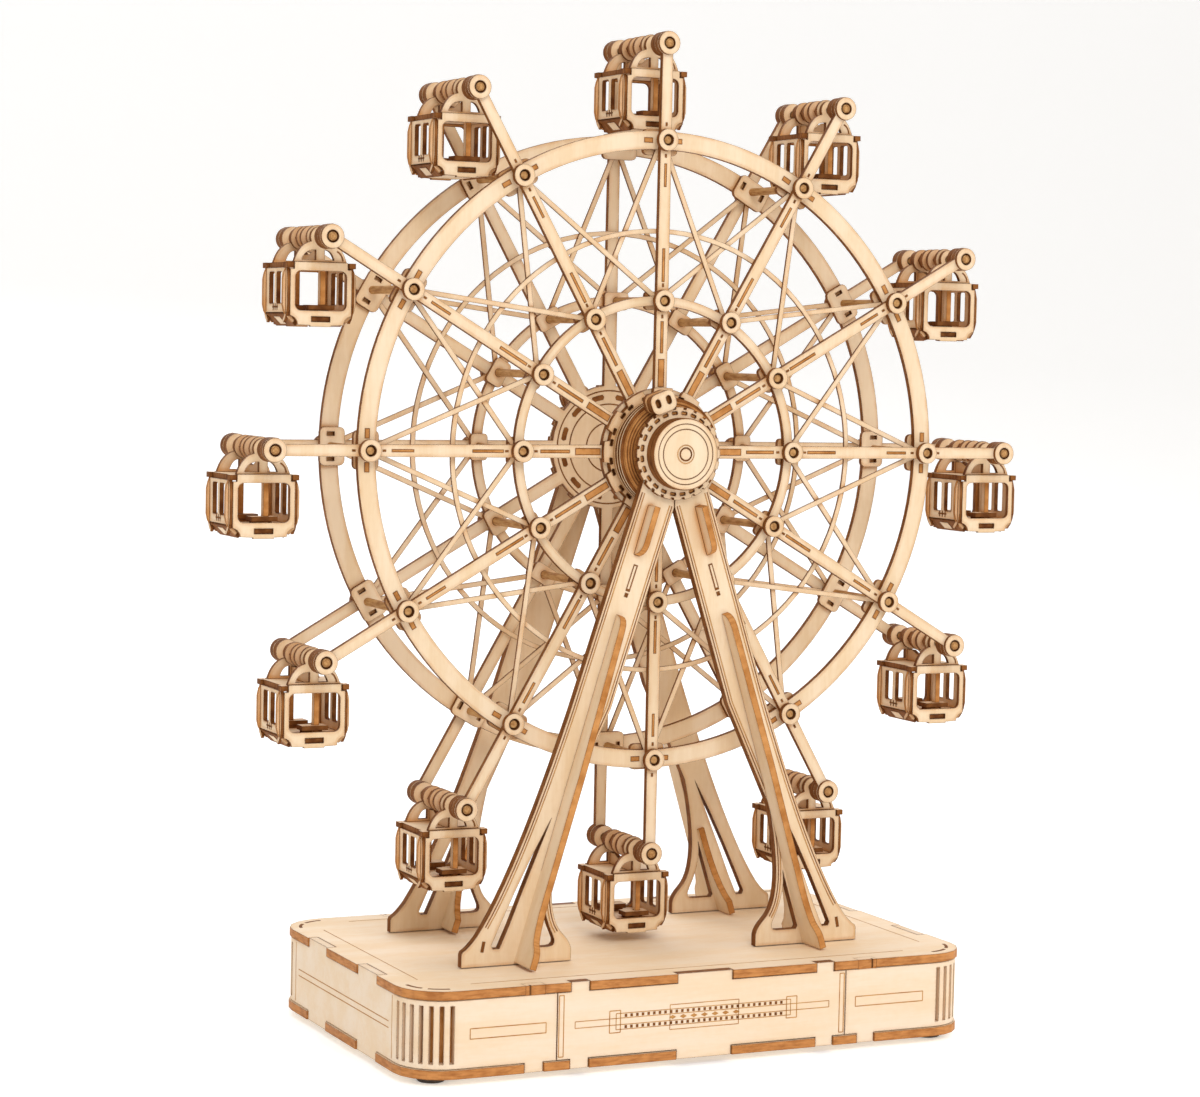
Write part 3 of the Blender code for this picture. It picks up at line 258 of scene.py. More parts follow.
def grain_group():
    """Soft blotches and fine fibres, drawn out along the axis where Stretch is small"""
    group, start, end = new_group(
        "basswood_grain",
        [("Stretch", "NodeSocketVector", (1, 1, 1))],
        [("Tone", "NodeSocketFloat"), ("Fibres", "NodeSocketFloat")])
    place = group.nodes.new("ShaderNodeTexCoord").outputs["Object"]
    drawn = vector_node(group, "MULTIPLY", place, start.outputs["Stretch"])
    blotches = noise_node(group, drawn, 95, 2.5)
    fibres = noise_node(group, drawn, 900, 4.0, 0.65)
    pores = noise_node(group, place, 420, 2.0)
    tone = math_node(group, "ADD", math_node(group, "MULTIPLY", blotches, 0.60),
                     math_node(group, "MULTIPLY", fibres, 0.28))
    tone = math_node(group, "ADD", tone, math_node(group, "MULTIPLY", pores, 0.12))
    set_inputs(group, end, {"Tone": range_node(group, tone, 0.36, 0.64), "Fibres": fibres})
    return group


def edge_group():
    """Side says where a sheet's cut sides are; Line is the thin burnt line along its edges, Halo
    the soft brown beside it, and the fourth output is painted shade: the piece's own corners
    darkened by ambient occlusion"""
    group, start, end = new_group(
        "burnt_edges",
        [("Facing", "NodeSocketVector", ALONG_Y)],
        [("Side", "NodeSocketFloat"), ("Line", "NodeSocketFloat"), ("Halo", "NodeSocketFloat"),
         ("CornerShade", "NodeSocketFloat")])
    normal = group.nodes.new("ShaderNodeTexCoord").outputs["Normal"]
    along = vector_node(group, "DOT_PRODUCT", normal, start.outputs["Facing"])
    along = math_node(group, "ABSOLUTE", along)
    found = {"Side": range_node(group, along, 0.55, 0.75, 1.0, 0.0)}
    true_normal = group.nodes.new("ShaderNodeNewGeometry").outputs["True Normal"]
    place = group.nodes.new("ShaderNodeTexCoord").outputs["Object"]
    uneven = range_node(group, noise_node(group, place, 130, 2.0), 0.35, 0.65, 0.35, 1.0)
    for label, reach, low, high in (("Line", LINE_REACH, 0.86, 0.995),
                                    ("Halo", HALO_REACH, 0.80, 1.0)):
        bevel = group.nodes.new("ShaderNodeBevel")
        bevel.samples = 4
        bevel.inputs["Radius"].default_value = reach
        match = vector_node(group, "DOT_PRODUCT", bevel.outputs["Normal"], true_normal)
        found[label] = range_node(group, match, low, high, 1.0, 0.0)
    found["Halo"] = math_node(group, "MULTIPLY", found["Halo"], uneven)
    # Painted shade: ambient occlusion within the piece darkens its corners and recesses
    corner = group.nodes.new("ShaderNodeAmbientOcclusion")
    corner.samples = 4
    corner.only_local = True
    corner.inputs["Distance"].default_value = CORNER_SHADE_REACH
    found["CornerShade"] = range_node(group, corner.outputs["AO"], 0.15, 0.95, 1.0, 0.0)
    set_inputs(group, end, found)
    return group


def burnt_group():
    """The brown of a laser-cut side, streaked along its layers where Layers is large"""
    group, start, end = new_group(
        "burnt_side",
        [("Layers", "NodeSocketVector", (1, 8, 1)), ("Dark", "NodeSocketColor", BURNT),
         ("Light", "NodeSocketColor", BURNT_LIGHT)],
        [("Colour", "NodeSocketColor")])
    place = group.nodes.new("ShaderNodeTexCoord").outputs["Object"]
    layered = vector_node(group, "MULTIPLY", place, start.outputs["Layers"])
    streaks = noise_node(group, layered, 190, 3.0, 0.6)
    patches = noise_node(group, place, 160, 2.0)
    share = math_node(group, "ADD", math_node(group, "MULTIPLY", streaks, 0.7),
                      math_node(group, "MULTIPLY", patches, 0.3))
    share = range_node(group, share, 0.30, 0.66)
    colour = mix_colours(group, share, start.outputs["Dark"], start.outputs["Light"])
    set_inputs(group, end, {"Colour": colour})
    return group


GRAIN = grain_group()
EDGES = edge_group()
BURNT_SIDE = burnt_group()


def place_group(tree, group, **values):
    node = tree.nodes.new("ShaderNodeGroup")
    node.node_tree = group
    set_inputs(tree, node, values)
    return node


# Materials

def new_material(name):
    material = bpy.data.materials.new(name)
    material.use_nodes = True
    tree = material.node_tree
    return material, tree, tree.nodes["Principled BSDF"]


def sheet_wood(name, facing=None, stretch=(1, 1, 0.12), layers=(1, 8, 1), face=FACE, deep=0.87,
               dark=BURNT, light=BURNT_LIGHT, line=0.9, halo=0.72, corner_shade=0.75):
    """Plywood: pale mottled faces with painted shade in the piece's own corners, and burnt sides
    where a facing axis says which ones they are
    """
    material, tree, shader = new_material(name)
    grain = place_group(tree, GRAIN, Stretch=stretch)
    deeper = tuple(v * k for v, k in zip(face[:3], (deep + 0.05, deep - 0.01, deep - 0.11))) + (1,)
    colour = mix_colours(tree, grain.outputs["Tone"], deeper, face)
    edges = place_group(tree, EDGES, Facing=facing or ALONG_Y)
    # Painted shade in the piece's corners first, then the laser halo by the edges, both towards the
    # same brown
    for label, amount in (("CornerShade", corner_shade), ("Halo", halo)):
        share = math_node(tree, "MULTIPLY", edges.outputs[label], amount)
        colour = mix_colours(tree, share, colour, HALO_AND_CORNER_SHADE)
    thin = math_node(tree, "MULTIPLY", edges.outputs["Line"], line)
    if facing:
        burnt = place_group(tree, BURNT_SIDE, Layers=layers, Dark=dark, Light=light)
        colour = mix_colours(tree, edges.outputs["Side"], colour, burnt.outputs["Colour"])
    colour = mix_colours(tree, thin, colour, SCORCH)
    rough = range_node(tree, grain.outputs["Tone"], 0.0, 1.0, 0.66, 0.54)
    bump = tree.nodes.new("ShaderNodeBump")
    set_inputs(tree, bump, {"Strength": 0.18, "Distance": 0.0002,
                            "Height": grain.outputs["Fibres"]})
    set_inputs(tree, shader, {"Base Color": colour, "Roughness": rough, "Specular IOR Level": 0.2,
                              "Normal": bump.outputs["Normal"]})
    return material


def burnt_wood(name, dark=BURNT, light=BURNT_LIGHT, layers=(1, 8, 1), line=0.85):
    """A cut side or a dowel: brown, streaked and matt"""
    material, tree, shader = new_material(name)
    burnt = place_group(tree, BURNT_SIDE, Layers=layers, Dark=dark, Light=light)
    grain = place_group(tree, GRAIN, Stretch=(1, 1, 1))
    edges = place_group(tree, EDGES)
    thin = math_node(tree, "MULTIPLY", edges.outputs["Line"], line)
    colour = mix_colours(tree, thin, burnt.outputs["Colour"], SCORCH)
    rough = range_node(tree, grain.outputs["Tone"], 0.0, 1.0, 0.8, 0.65)
    set_inputs(tree, shader, {"Base Color": colour, "Roughness": rough, "Specular IOR Level": 0.12})
    return material


def plain_metal(name, colour, brushed, roughness):
    """Brushed metal: fine scratches along one axis in its roughness and tone"""
    material, tree, shader = new_material(name)
    scratches = place_group(tree, GRAIN, Stretch=brushed).outputs["Fibres"]
    darker = tuple(v * 0.8 for v in colour[:3]) + (1,)
    tone = mix_colours(tree, scratches, darker, colour)
    rough = range_node(tree, scratches, 0.2, 0.8, roughness - 0.08, roughness + 0.12)
    set_inputs(tree, shader, {"Base Color": tone, "Roughness": rough, "Metallic": 1.0})
    return material


def dark_rubber():
    material, tree, shader = new_material("dark_rubber")
    tone = place_group(tree, GRAIN, Stretch=(1, 1, 1)).outputs["Tone"]
    colour = mix_colours(tree, tone, (0.030, 0.020, 0.016, 1), (0.055, 0.040, 0.032, 1))
    set_inputs(tree, shader, {"Base Color": colour, "Roughness": 0.75})
    return material


LEVEL_GRAIN = (0.12, 1, 1)
# Walls and panels take little painted corner shade and a weak halo
WALL_LOOK = {"face": WALL_FACE, "deep": 0.92, "halo": 0.3, "corner_shade": 0.2}
FACE_WOOD = sheet_wood("ply_face")
EDGE_WOOD = burnt_wood("ply_burnt_side")
# Painted light: the lit copy of the burnt side, for cut sides that face the lamp
LIT_CUT_WOOD = burnt_wood("ply_lit_cut", LIT_CUT, LIT_CUT_LIGHT)
DOWEL_WOOD = burnt_wood("dowel_wood", (0.30, 0.13, 0.04, 1), (0.55, 0.31, 0.12, 1), (6, 1, 6))
SCORCHED = burnt_wood("scorched_line", (0.13, 0.042, 0.009, 1), (0.27, 0.105, 0.03, 1))
ENGRAVED = burnt_wood("engraved_line", (0.36, 0.15, 0.04, 1), (0.57, 0.30, 0.10, 1), line=0)
# Painted shade: near-black discs and slits put at the bottom of narrow holes and gaps
SHADE_HOLE_WOOD = burnt_wood("painted_shade_slot", (0.065, 0.023, 0.007, 1), (0.14, 0.055, 0.016, 1))
PANEL_WOOD = sheet_wood("panel_ply", ALONG_Y, LEVEL_GRAIN, **WALL_LOOK)
PLATE_WOOD = sheet_wood("plate_ply", (0, 0, 1), (0.25, 1, 1), (1, 1, 5), PLATE_FACE, 0.92,
                        PLATE_CUT, PLATE_CUT_LIGHT, line=0.85, halo=0.4, corner_shade=0.1)
WALL_WOOD = sheet_wood("bent_wall_ply", None, LEVEL_GRAIN, **WALL_LOOK)
STEEL = plain_metal("plain_steel", (0.62, 0.62, 0.60, 1), (1, 0.1, 1), 0.35)
BRASS = plain_metal("plain_brass", (0.72, 0.53, 0.24, 1), (0.1, 1, 1), 0.3)
RUBBER = dark_rubber()

# Every piece has its face wood first, then these
PIECE_MATERIALS = [EDGE_WOOD, DOWEL_WOOD, SCORCHED, ENGRAVED, SHADE_HOLE_WOOD, LIT_CUT_WOOD]
FACE_SLOT, EDGE_SLOT, DOWEL_SLOT, SCORCH_SLOT, LINE_SLOT, SHADE_HOLE_SLOT, LIT_CUT_SLOT = range(7)


def dress_nodes():
    """Gives the solids that stay in sight their finish; every other one has a piece in its place"""
    finishes = {"base_front_panel": PANEL_WOOD, "base_back_panel": PANEL_WOOD,
                "base_top_plate": PLATE_WOOD, "base_bottom_plate": PLATE_WOOD,
                "base_left_wall": WALL_WOOD, "base_right_wall": WALL_WOOD, "crank": STEEL,
                "music_comb": STEEL, "movement_frame": STEEL, "pinned_cylinder": BRASS}
    for name, node in frame["nodes"].items():
        node.data.materials.clear()
        node.data.materials.append(finishes.get(name, DOWEL_WOOD if "axle" in name else FACE_WOOD))


# Outlines, in mm

TOOTH_SLOPE = 0.05


def circle(radius, sides, centre=(0, 0)):
    cx, cy = centre
    angles = [2 * math.pi * i / sides for i in range(sides)]
    return [(cx + radius * math.cos(a), cy + radius * math.sin(a)) for a in angles]


def arc(centre, radius, start, end, steps):
    cx, cy = centre
    angles = [math.radians(start + (end - start) * i / steps) for i in range(steps + 1)]
    return [(cx + radius * math.cos(a), cy + radius * math.sin(a)) for a in angles]


def bend(start, control, end, steps):
    points = []
    for i in range(steps + 1):
        t = i / steps
        near, pull, far = (1 - t) ** 2, 2 * t * (1 - t), t ** 2
        points.append(tuple(near * a + pull * b + far * c for a, b, c in zip(start, control, end)))
    return points


def rectangle(width, height, centre=(0, 0)):
    cx, cy = centre
    w, h = width / 2, height / 2
    return [(cx - w, cy - h), (cx + w, cy - h), (cx + w, cy + h), (cx - w, cy + h)]


def rounded(width, height, radius, centre=(0, 0), steps=4):
    cx, cy = centre
    points = []
    for sx, sy, start in ((1, -1, -90), (1, 1, 0), (-1, 1, 90), (-1, -1, 180)):
        corner = (cx + sx * (width / 2 - radius), cy + sy * (height / 2 - radius))
        points += arc(corner, radius, start, start + 90, steps)
    return points


def mirrored(points):
    """The same points on the other side, in the order that closes an outline"""
    return [(-x, z) for x, z in reversed(points)]


def ring_loops(outer, inner, sides):
    return [circle(outer, sides), circle(inner, sides)]


def polar(radius, angle):
    return (radius * math.sin(angle), radius * math.cos(angle))


def turned_outline(points, k):
    """The same outline, k spokes further round the wheel"""
    c, s = math.cos(k * STEP), math.sin(k * STEP)
    return [(x * c + y * s, y * c - x * s) for x, y in points]


def toothed(radius, teeth, depth, share):
    """A disc's outline with a notch beside each tooth; share is how much of it the teeth take"""
    points = []
    pitch = 2 * math.pi / teeth
    root, start = radius - depth, share / 2 + TOOTH_SLOPE
    for i in range(teeth):
        for r, turn in ((radius, -share / 2), (radius, 0), (radius, share / 2), (root, start),
                        (root, 1 - start)):
            angle = (i + turn) * pitch
            points.append((r * math.cos(angle), r * math.sin(angle)))
    return points


def curved_slot(radius, angle, length, width):
    """A small slot lying along a circle"""
    along = length / 2 / radius
    outer = [polar(radius + width / 2, angle + t * along) for t in (-0.8, 0, 0.8)]
    inner = [polar(radius - width / 2, angle + t * along) for t in (0.8, 0, -0.8)]
    return outer + [polar(radius, angle + along)] + inner + [polar(radius, angle - along)]


def shifted(points, distance):
    """The same line, moved sideways: to its left where distance is above zero"""
    moved = []
    for i, point in enumerate(points):
        before, after = Vector(points[max(i - 1, 0)]), Vector(points[min(i + 1, len(points) - 1)])
        along = (after - before).normalized()
        moved.append((point[0] - along.y * distance, point[1] + along.x * distance))
    return moved


def stroke(points, width):
    """The outline of a line of this width drawn through the points"""
    return shifted(points, width / 2) + list(reversed(shifted(points, -width / 2)))


def frame_strokes(width, height, centre, line):
    """Four strokes round a rectangle"""
    corners = rectangle(width, height, centre)
    return [stroke([corners[i], corners[(i + 1) % 4]], line) for i in range(4)]


# Cutting plates, blocks and turned pieces

def flat_mesh(loops, thickness):
    """A filled outline with its holes, extruded both ways from its own plane"""
    curve = bpy.data.curves.new("outline", "CURVE")
    curve.dimensions = "2D"
    curve.fill_mode = "BOTH"
    curve.extrude = thickness / 2
    for loop in loops:
        spline = curve.splines.new("POLY")
        spline.points.add(len(loop) - 1)
        for point, (u, v) in zip(spline.points, loop):
            point.co = (u, v, 0, 1)
        spline.use_cyclic_u = True
    flat = bpy.data.objects.new("outline", curve)
    bpy.context.scene.collection.objects.link(flat)
    bpy.context.view_layer.update()
    filled = flat.evaluated_get(bpy.context.evaluated_depsgraph_get())
    mesh = bpy.data.meshes.new_from_object(filled)
    bpy.data.objects.remove(flat)
    bpy.data.curves.remove(curve)
    bm = bmesh.new()
    bm.from_mesh(mesh)
    bmesh.ops.remove_doubles(bm, verts=bm.verts, dist=0.001)
    bmesh.ops.recalc_face_normals(bm, faces=bm.faces)
    bm.to_mesh(mesh)
    bm.free()
    return mesh


def as_list(places):
    return [places] if isinstance(places, Matrix) else places


def add_plate(bm, loops, thickness, places, face=FACE_SLOT, side=EDGE_SLOT):
    """Adds a plate at one place, or the same plate at each of several"""
    mesh = flat_mesh(loops, thickness)
    for polygon in mesh.polygons:
        polygon.material_index = face if abs(polygon.normal.z) > 0.9 else side
    for place in as_list(places):
        copy = mesh.copy()
        copy.transform(place)
        bm.from_mesh(copy)
        bpy.data.meshes.remove(copy)
    bpy.data.meshes.remove(mesh)


def add_mark(bm, loops, places, slot=SCORCH_SLOT, thickness=THIN):
    """Adds a burnt or engraved mark, which lies a hair above the surface"""
    add_plate(bm, loops, thickness, places, slot, slot)


def add_block(bm, size, place, slot):
    """Adds a block centred on a point, or on a place that also turns it"""
    where = place if isinstance(place, Matrix) else Matrix.Translation(place)
    made = bmesh.ops.create_cube(bm, size=1, matrix=where @ Matrix.Diagonal((*size, 1)))
    for face in {f for v in made["verts"] for f in v.link_faces}:
        face.material_index = slot


def add_rod(bm, radius, length, places, sides=14, slot=DOWEL_SLOT):
    for place in as_list(places):
        made = bmesh.ops.create_cone(bm, cap_ends=True, segments=sides, radius1=radius,
                                     radius2=radius, depth=length, matrix=place)
        for face in {f for v in made["verts"] for f in v.link_faces}:
            face.material_index = slot
            face.smooth = len(face.verts) <= 4


def add_turned(bm, profile, slots, steps, place):
    """A profile of (radius, height) points spun about its own z axis, a slot for each stretch"""
    rings = []
    for radius, height in profile:
        points = circle(radius, steps) if radius else [(0, 0)]
        rings.append([bm.verts.new(place @ Vector((x, y, height))) for x, y in points])
    for upper, lower, slot in zip(rings, rings[1:], slots):
        for i in range(steps):
            j = (i + 1) % steps
            corners = [upper[i % len(upper)], lower[i % len(lower)],
                       lower[j % len(lower)], upper[j % len(upper)]]
            face = bm.faces.new(list(dict.fromkeys(corners)))
            face.material_index = slot
            face.smooth = True


def finished_mesh(bm, name, face=FACE_WOOD):
    """Turns a piece drawn in mm into a mesh in metres, with the piece materials in their slots"""
    bmesh.ops.recalc_face_normals(bm, faces=bm.faces)
    bmesh.ops.scale(bm, vec=(MM, MM, MM), verts=bm.verts)
    mesh = bpy.data.meshes.new(name)
    bm.to_mesh(mesh)
    bm.free()
    for material in [face] + PIECE_MATERIALS:
        mesh.materials.append(material)
    mesh.set_sharp_from_angle(angle=math.radians(35))
    return mesh


def set_piece(mesh, name, body, centre, replaced=()):
    piece = bpy.data.objects.new(name, mesh)
    bpy.context.scene.collection.objects.link(piece)
    piece.location = Vector(centre) * MM
    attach(piece, body)
    if replaced:
        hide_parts(*replaced)


def finish_piece(bm, name, body, centre, replaced=(), face=FACE_WOOD):
    """Sets a piece that is used once"""
    set_piece(finished_mesh(bm, name, face), name, body, centre, replaced)


def front(side, depth):
    """Moves an upright outline to a depth on the front (-1) or rear (1) side"""
    return Matrix.Translation((0, side * depth, 0)) @ FACING_Y


def round_wheel(place):
    """The same place at each of the twelve spokes"""
    return [Matrix.Rotation(k * STEP, 4, "Y") @ place for k in range(CABIN_COUNT)]


def side_name(side):
    return "front" if side < 0 else "rear"


# Cabins, about their own pivots

CABIN_W, CABIN_D = 23.4, 24.0
ROOF_TOP, ROOF_LOW = -8.5, -10.3
ROOF_OVERHANG = 0.3
WINDOW_W, WINDOW_TOP, WINDOW_LOW = 18.0, -11.2, -24.3
WINDOW_MIDDLE = (WINDOW_TOP + WINDOW_LOW) / 2
CABIN_LOW = -29.2
LOWER_CUT = 4.2
WALL = 1.5
FLOOR_PLY = 1.3
BENCH = -23.2
SLOT_MIDDLE = -27.1
HANGER_PLY = 1.6
CABIN_MARK = 0.12


def cabin_front():
    """Front panel: a high middle over the roof's edge, ears and quarter-round lower corners"""
    half = CABIN_W / 2 - 1.0
    low = CABIN_LOW
    ear = low + 3.4
    cut = arc((half + 0.3, low + 0.2), 3.0, 180, 98, 5)
    right = [(3.6, low - 0.4), (3.6, low)] + cut
    right += [(half, ear), (half, ROOF_LOW - 0.4), (half - 1.4, ROOF_LOW - 0.4)]
    right += [(half - 1.4, ROOF_TOP + 0.15)]
    return right + mirrored(right)


def hanger_outline():
    ring = 3.5
    shoulder = bend((9.6, ROOF_TOP - 1.0), (7.8, -2.4), (3.1, -1.5), 7)
    top = arc((0, 0), ring, -24, 204, 14)
    return shoulder + top[1:-1] + mirrored(shoulder)


def moon(side, outer):
    low = ROOF_TOP + 0.9
    curve = bend((outer, low), (outer - 1.1, low + 3.5), (1.5, low + 3.3), 6)
    return [(side * x, z) for x, z in [(1.5, low)] + curve]


def add_side_wall(bm, hand):
    """A side wall with two narrow windows, a plain burnt mark below them and a slanted skirt"""
    out = hand * (CABIN_W / 2 - WALL / 2)
    place = Matrix.Translation((out, 0, 0)) @ FACING_X
    low = CABIN_LOW + LOWER_CUT
    middle = WINDOW_MIDDLE + 0.9
    windows = [rounded(5.2, 10.6, 0.7, (shift * 3.6, middle), 2) for shift in (-1, 1)]
    wall = rectangle(CABIN_D - 4.4, ROOF_LOW - low, (0, (ROOF_LOW + low) / 2))
    add_plate(bm, [wall] + windows, WALL, place)
    proud = Matrix.Translation((hand * (CABIN_W / 2 + PROUD), 0, 0)) @ FACING_X
    bars = [rectangle(0.5, 2.2, (shift, BENCH)) for shift in (-1.9, 0, 1.9)]
    for bar in bars + [rectangle(5.4, 0.5, (0, BENCH))]:
        add_mark(bm, [bar], proud, thickness=CABIN_MARK)
    skirt = hand * (CABIN_W / 2 - LOWER_CUT / 2 - 0.2)
    slant = Matrix.Translation((skirt, 0, CABIN_LOW + LOWER_CUT / 2))
    slant = slant @ Matrix.Rotation(hand * math.radians(45), 4, "Y")
    add_block(bm, (1.2, CABIN_D - 5.0, 5.4), slant, EDGE_SLOT)
    add_block(bm, (1.5, 5.6, 3.4), slant, FACE_SLOT)


def add_corner_posts(bm, side, hand):
    """Two bowed strips that meet at a corner, brown on their cut sides"""
    low = CABIN_LOW + LOWER_CUT
    outer = [(1.6, ROOF_LOW - 1.4), (2.1, ROOF_LOW - 3.6), (2.1, low + 2.6),
             (1.6, low + 0.4), (0.5, low - 1.6), (-1.4, low - 3.4)]
    loop = [(-2.2, low - 2.6), (-0.7, low - 0.8), (-0.3, low + 0.8),
            (-0.3, ROOF_LOW), (1.0, ROOF_LOW)] + outer
    half_w, half_d = CABIN_W / 2, CABIN_D / 2
    along = Matrix.Translation((hand * (half_w - 0.5), side * (half_d - 2.3), 0)) @ FACING_X
    add_plate(bm, [[(side * u, v) for u, v in loop]], 1.0, along)
    across = Matrix.Translation((hand * (half_w - 1.0), side * (half_d - 2.2), 0)) @ FACING_Y
    # The across strip's cut sides are painted lighter, as if lit
    add_plate(bm, [[(hand * u, v) for u, v in loop]], 1.2, across, FACE_SLOT, LIT_CUT_SLOT)


def add_roof(bm):
    """Roof plate with brown cut ends beside the raised middle of each panel"""
    middle = (ROOF_TOP + ROOF_LOW) / 2
    half_w, half_d = CABIN_W / 2 + ROOF_OVERHANG, CABIN_D / 2 + ROOF_OVERHANG
    notch, back, end = CABIN_W / 2 - 2.0, 1.0, 3.6
    right = [(notch, -half_d + back), (notch, -half_d), (half_w, -half_d), (half_w, -half_d + end),
             (half_w - back, -half_d + end)]
    right += [(x, -y) for x, y in reversed(right)]
    add_plate(bm, [right + mirrored(right)], ROOF_TOP - ROOF_LOW,
              Matrix.Translation((0, 0, middle)))


def add_inside(bm):
    """Floor, two benches and the centre post"""
    floor = CABIN_LOW + LOWER_CUT - 0.6
    for narrower, height in ((3, floor), (9.8, CABIN_LOW + 0.8)):
        add_plate(bm, [rectangle(CABIN_W - narrower, CABIN_D - 3.2)], FLOOR_PLY,
                  Matrix.Translation((0, 0, height)))
    height = ROOF_LOW + 25.0
    for side in (-1, 1):
        bench = (-side * 0.9, side * 7.4, BENCH)
        add_plate(bm, [rectangle(9.2, 5.4)], 1.6, Matrix.Translation(bench))
        add_block(bm, (7.4, 1.4, 2.2), (bench[0], side * 6.0, -25.0), EDGE_SLOT)
        post = rectangle(2.2, height, (side * 7.6, ROOF_LOW - height / 2))
        place = Matrix.Translation((-side * 1.8, 0, 0)) @ FACING_X
        # The post's cut sides are painted lighter, as if lit
        add_plate(bm, [post], 1.9, place, FACE_SLOT, LIT_CUT_SLOT)


def add_hangers(bm):
    """Two arched plates with half-moon openings, and the low spine that clears the axle's rings"""
    half_d = CABIN_D / 2
    for side in (-1, 1):
        place = front(side, half_d - 1.9)
        loops = [hanger_outline(), circle(1.55, 14), moon(side, 6.6), moon(-side, 4.9)]
        add_plate(bm, loops, HANGER_PLY, place)
        slit = [(-side * x, z) for x, z in arc((4.0, -8.1), 3.9, 5, 62, 5)]
        add_mark(bm, [stroke(slit, 0.45)], front(side, half_d - 1.07), thickness=0.1)
    end = half_d - 2.7
    right = [(end, ROOF_TOP - 0.2), (end, -4.4), (5.6, -4.3), (2.4, -5.6)]
    add_plate(bm, [right + mirrored(right)], 1.5, FACING_X)


def cabin_mesh():
    bm = bmesh.new()
    window = rounded(WINDOW_W, WINDOW_TOP - WINDOW_LOW, 2.0, (0, WINDOW_MIDDLE))
    slot = rectangle(6.6, 1.8, (0, SLOT_MIDDLE))
    tab = rectangle(6.3, 1.5, (0, SLOT_MIDDLE))
    for side in (-1, 1):
        add_plate(bm, [cabin_front(), window, slot], WALL, front(side, CABIN_D / 2 - WALL / 2))
        add_mark(bm, [tab], front(side, CABIN_D / 2 - 0.9), EDGE_SLOT, 0.6)
        for hand in (-1, 1):
            add_corner_posts(bm, side, hand)
    for hand in (-1, 1):
        add_side_wall(bm, hand)
    add_roof(bm)
    add_inside(bm)
    add_hangers(bm)
    return finished_mesh(bm, "cabin")


def axle_fittings_mesh():
    """Rings, a thick spacer and a hexagonal nut on a cabin's dowel, the same at both ends"""
    bm = bmesh.new()
    hole = circle(1.5, 12)
    rings = [(SPOKE_IN - 3.4, SPOKE_IN - 0.4, 4.1, 24), (7.2, 8.4, 4.0, 24),
             (4.4, 6.0, 3.0, 6), (1.3, 2.6, 4.0, 24)]
    for side in (-1, 1):
        for near, far, radius, sides in rings:
            add_plate(bm, [circle(radius, sides), hole], far - near, front(side, (near + far) / 2))
        end = SPOKE_OUT + 0.05
        add_plate(bm, [circle(4.0, 28), circle(2.1, 20)], 1.2, front(side, end + 0.6))
        # Painted shade: a dark disc in the ring's hole round the dowel
        add_rod(bm, 2.12, 0.2, front(side, end + 0.1), 20, SHADE_HOLE_SLOT)
        add_rod(bm, 1.5, 1.6, front(side, end + 0.3))
    return finished_mesh(bm, "axle_fittings")


def build_cabins():
    cabin, fittings = cabin_mesh(), axle_fittings_mesh()
    for k in range(CABIN_COUNT):
        number = "%02d" % (k + 1)
        body = "cabin_" + number
        pivot = joint_place(body + "_swing")
        set_piece(cabin, "windowed_" + body, body, pivot, replaced=[body])
        set_piece(fittings, "axle_fittings_" + number, "wheel", pivot)


# Wheel, about its own axis

AXLE_HOLE = 2.4
WASHER, WASHER_HOLE, DOWEL_END = 3.75, 1.95, 1.35
INLAY = 0.06
INLAY_LINE = 0.5


def add_inlay(bm, width, length, middle, side, depth):
    """A tab's end let into each spoke: a cut side painted lighter as if lit, with a burnt line
    round it
    """
    dark, light = round_wheel(front(side, depth)), round_wheel(front(side, depth + PROUD))
    add_mark(bm, [rectangle(width, length, middle)], dark, thickness=INLAY)
    inside = rectangle(width - INLAY_LINE, length - INLAY_LINE, middle)
    add_mark(bm, [inside], light, LIT_CUT_SLOT, INLAY)


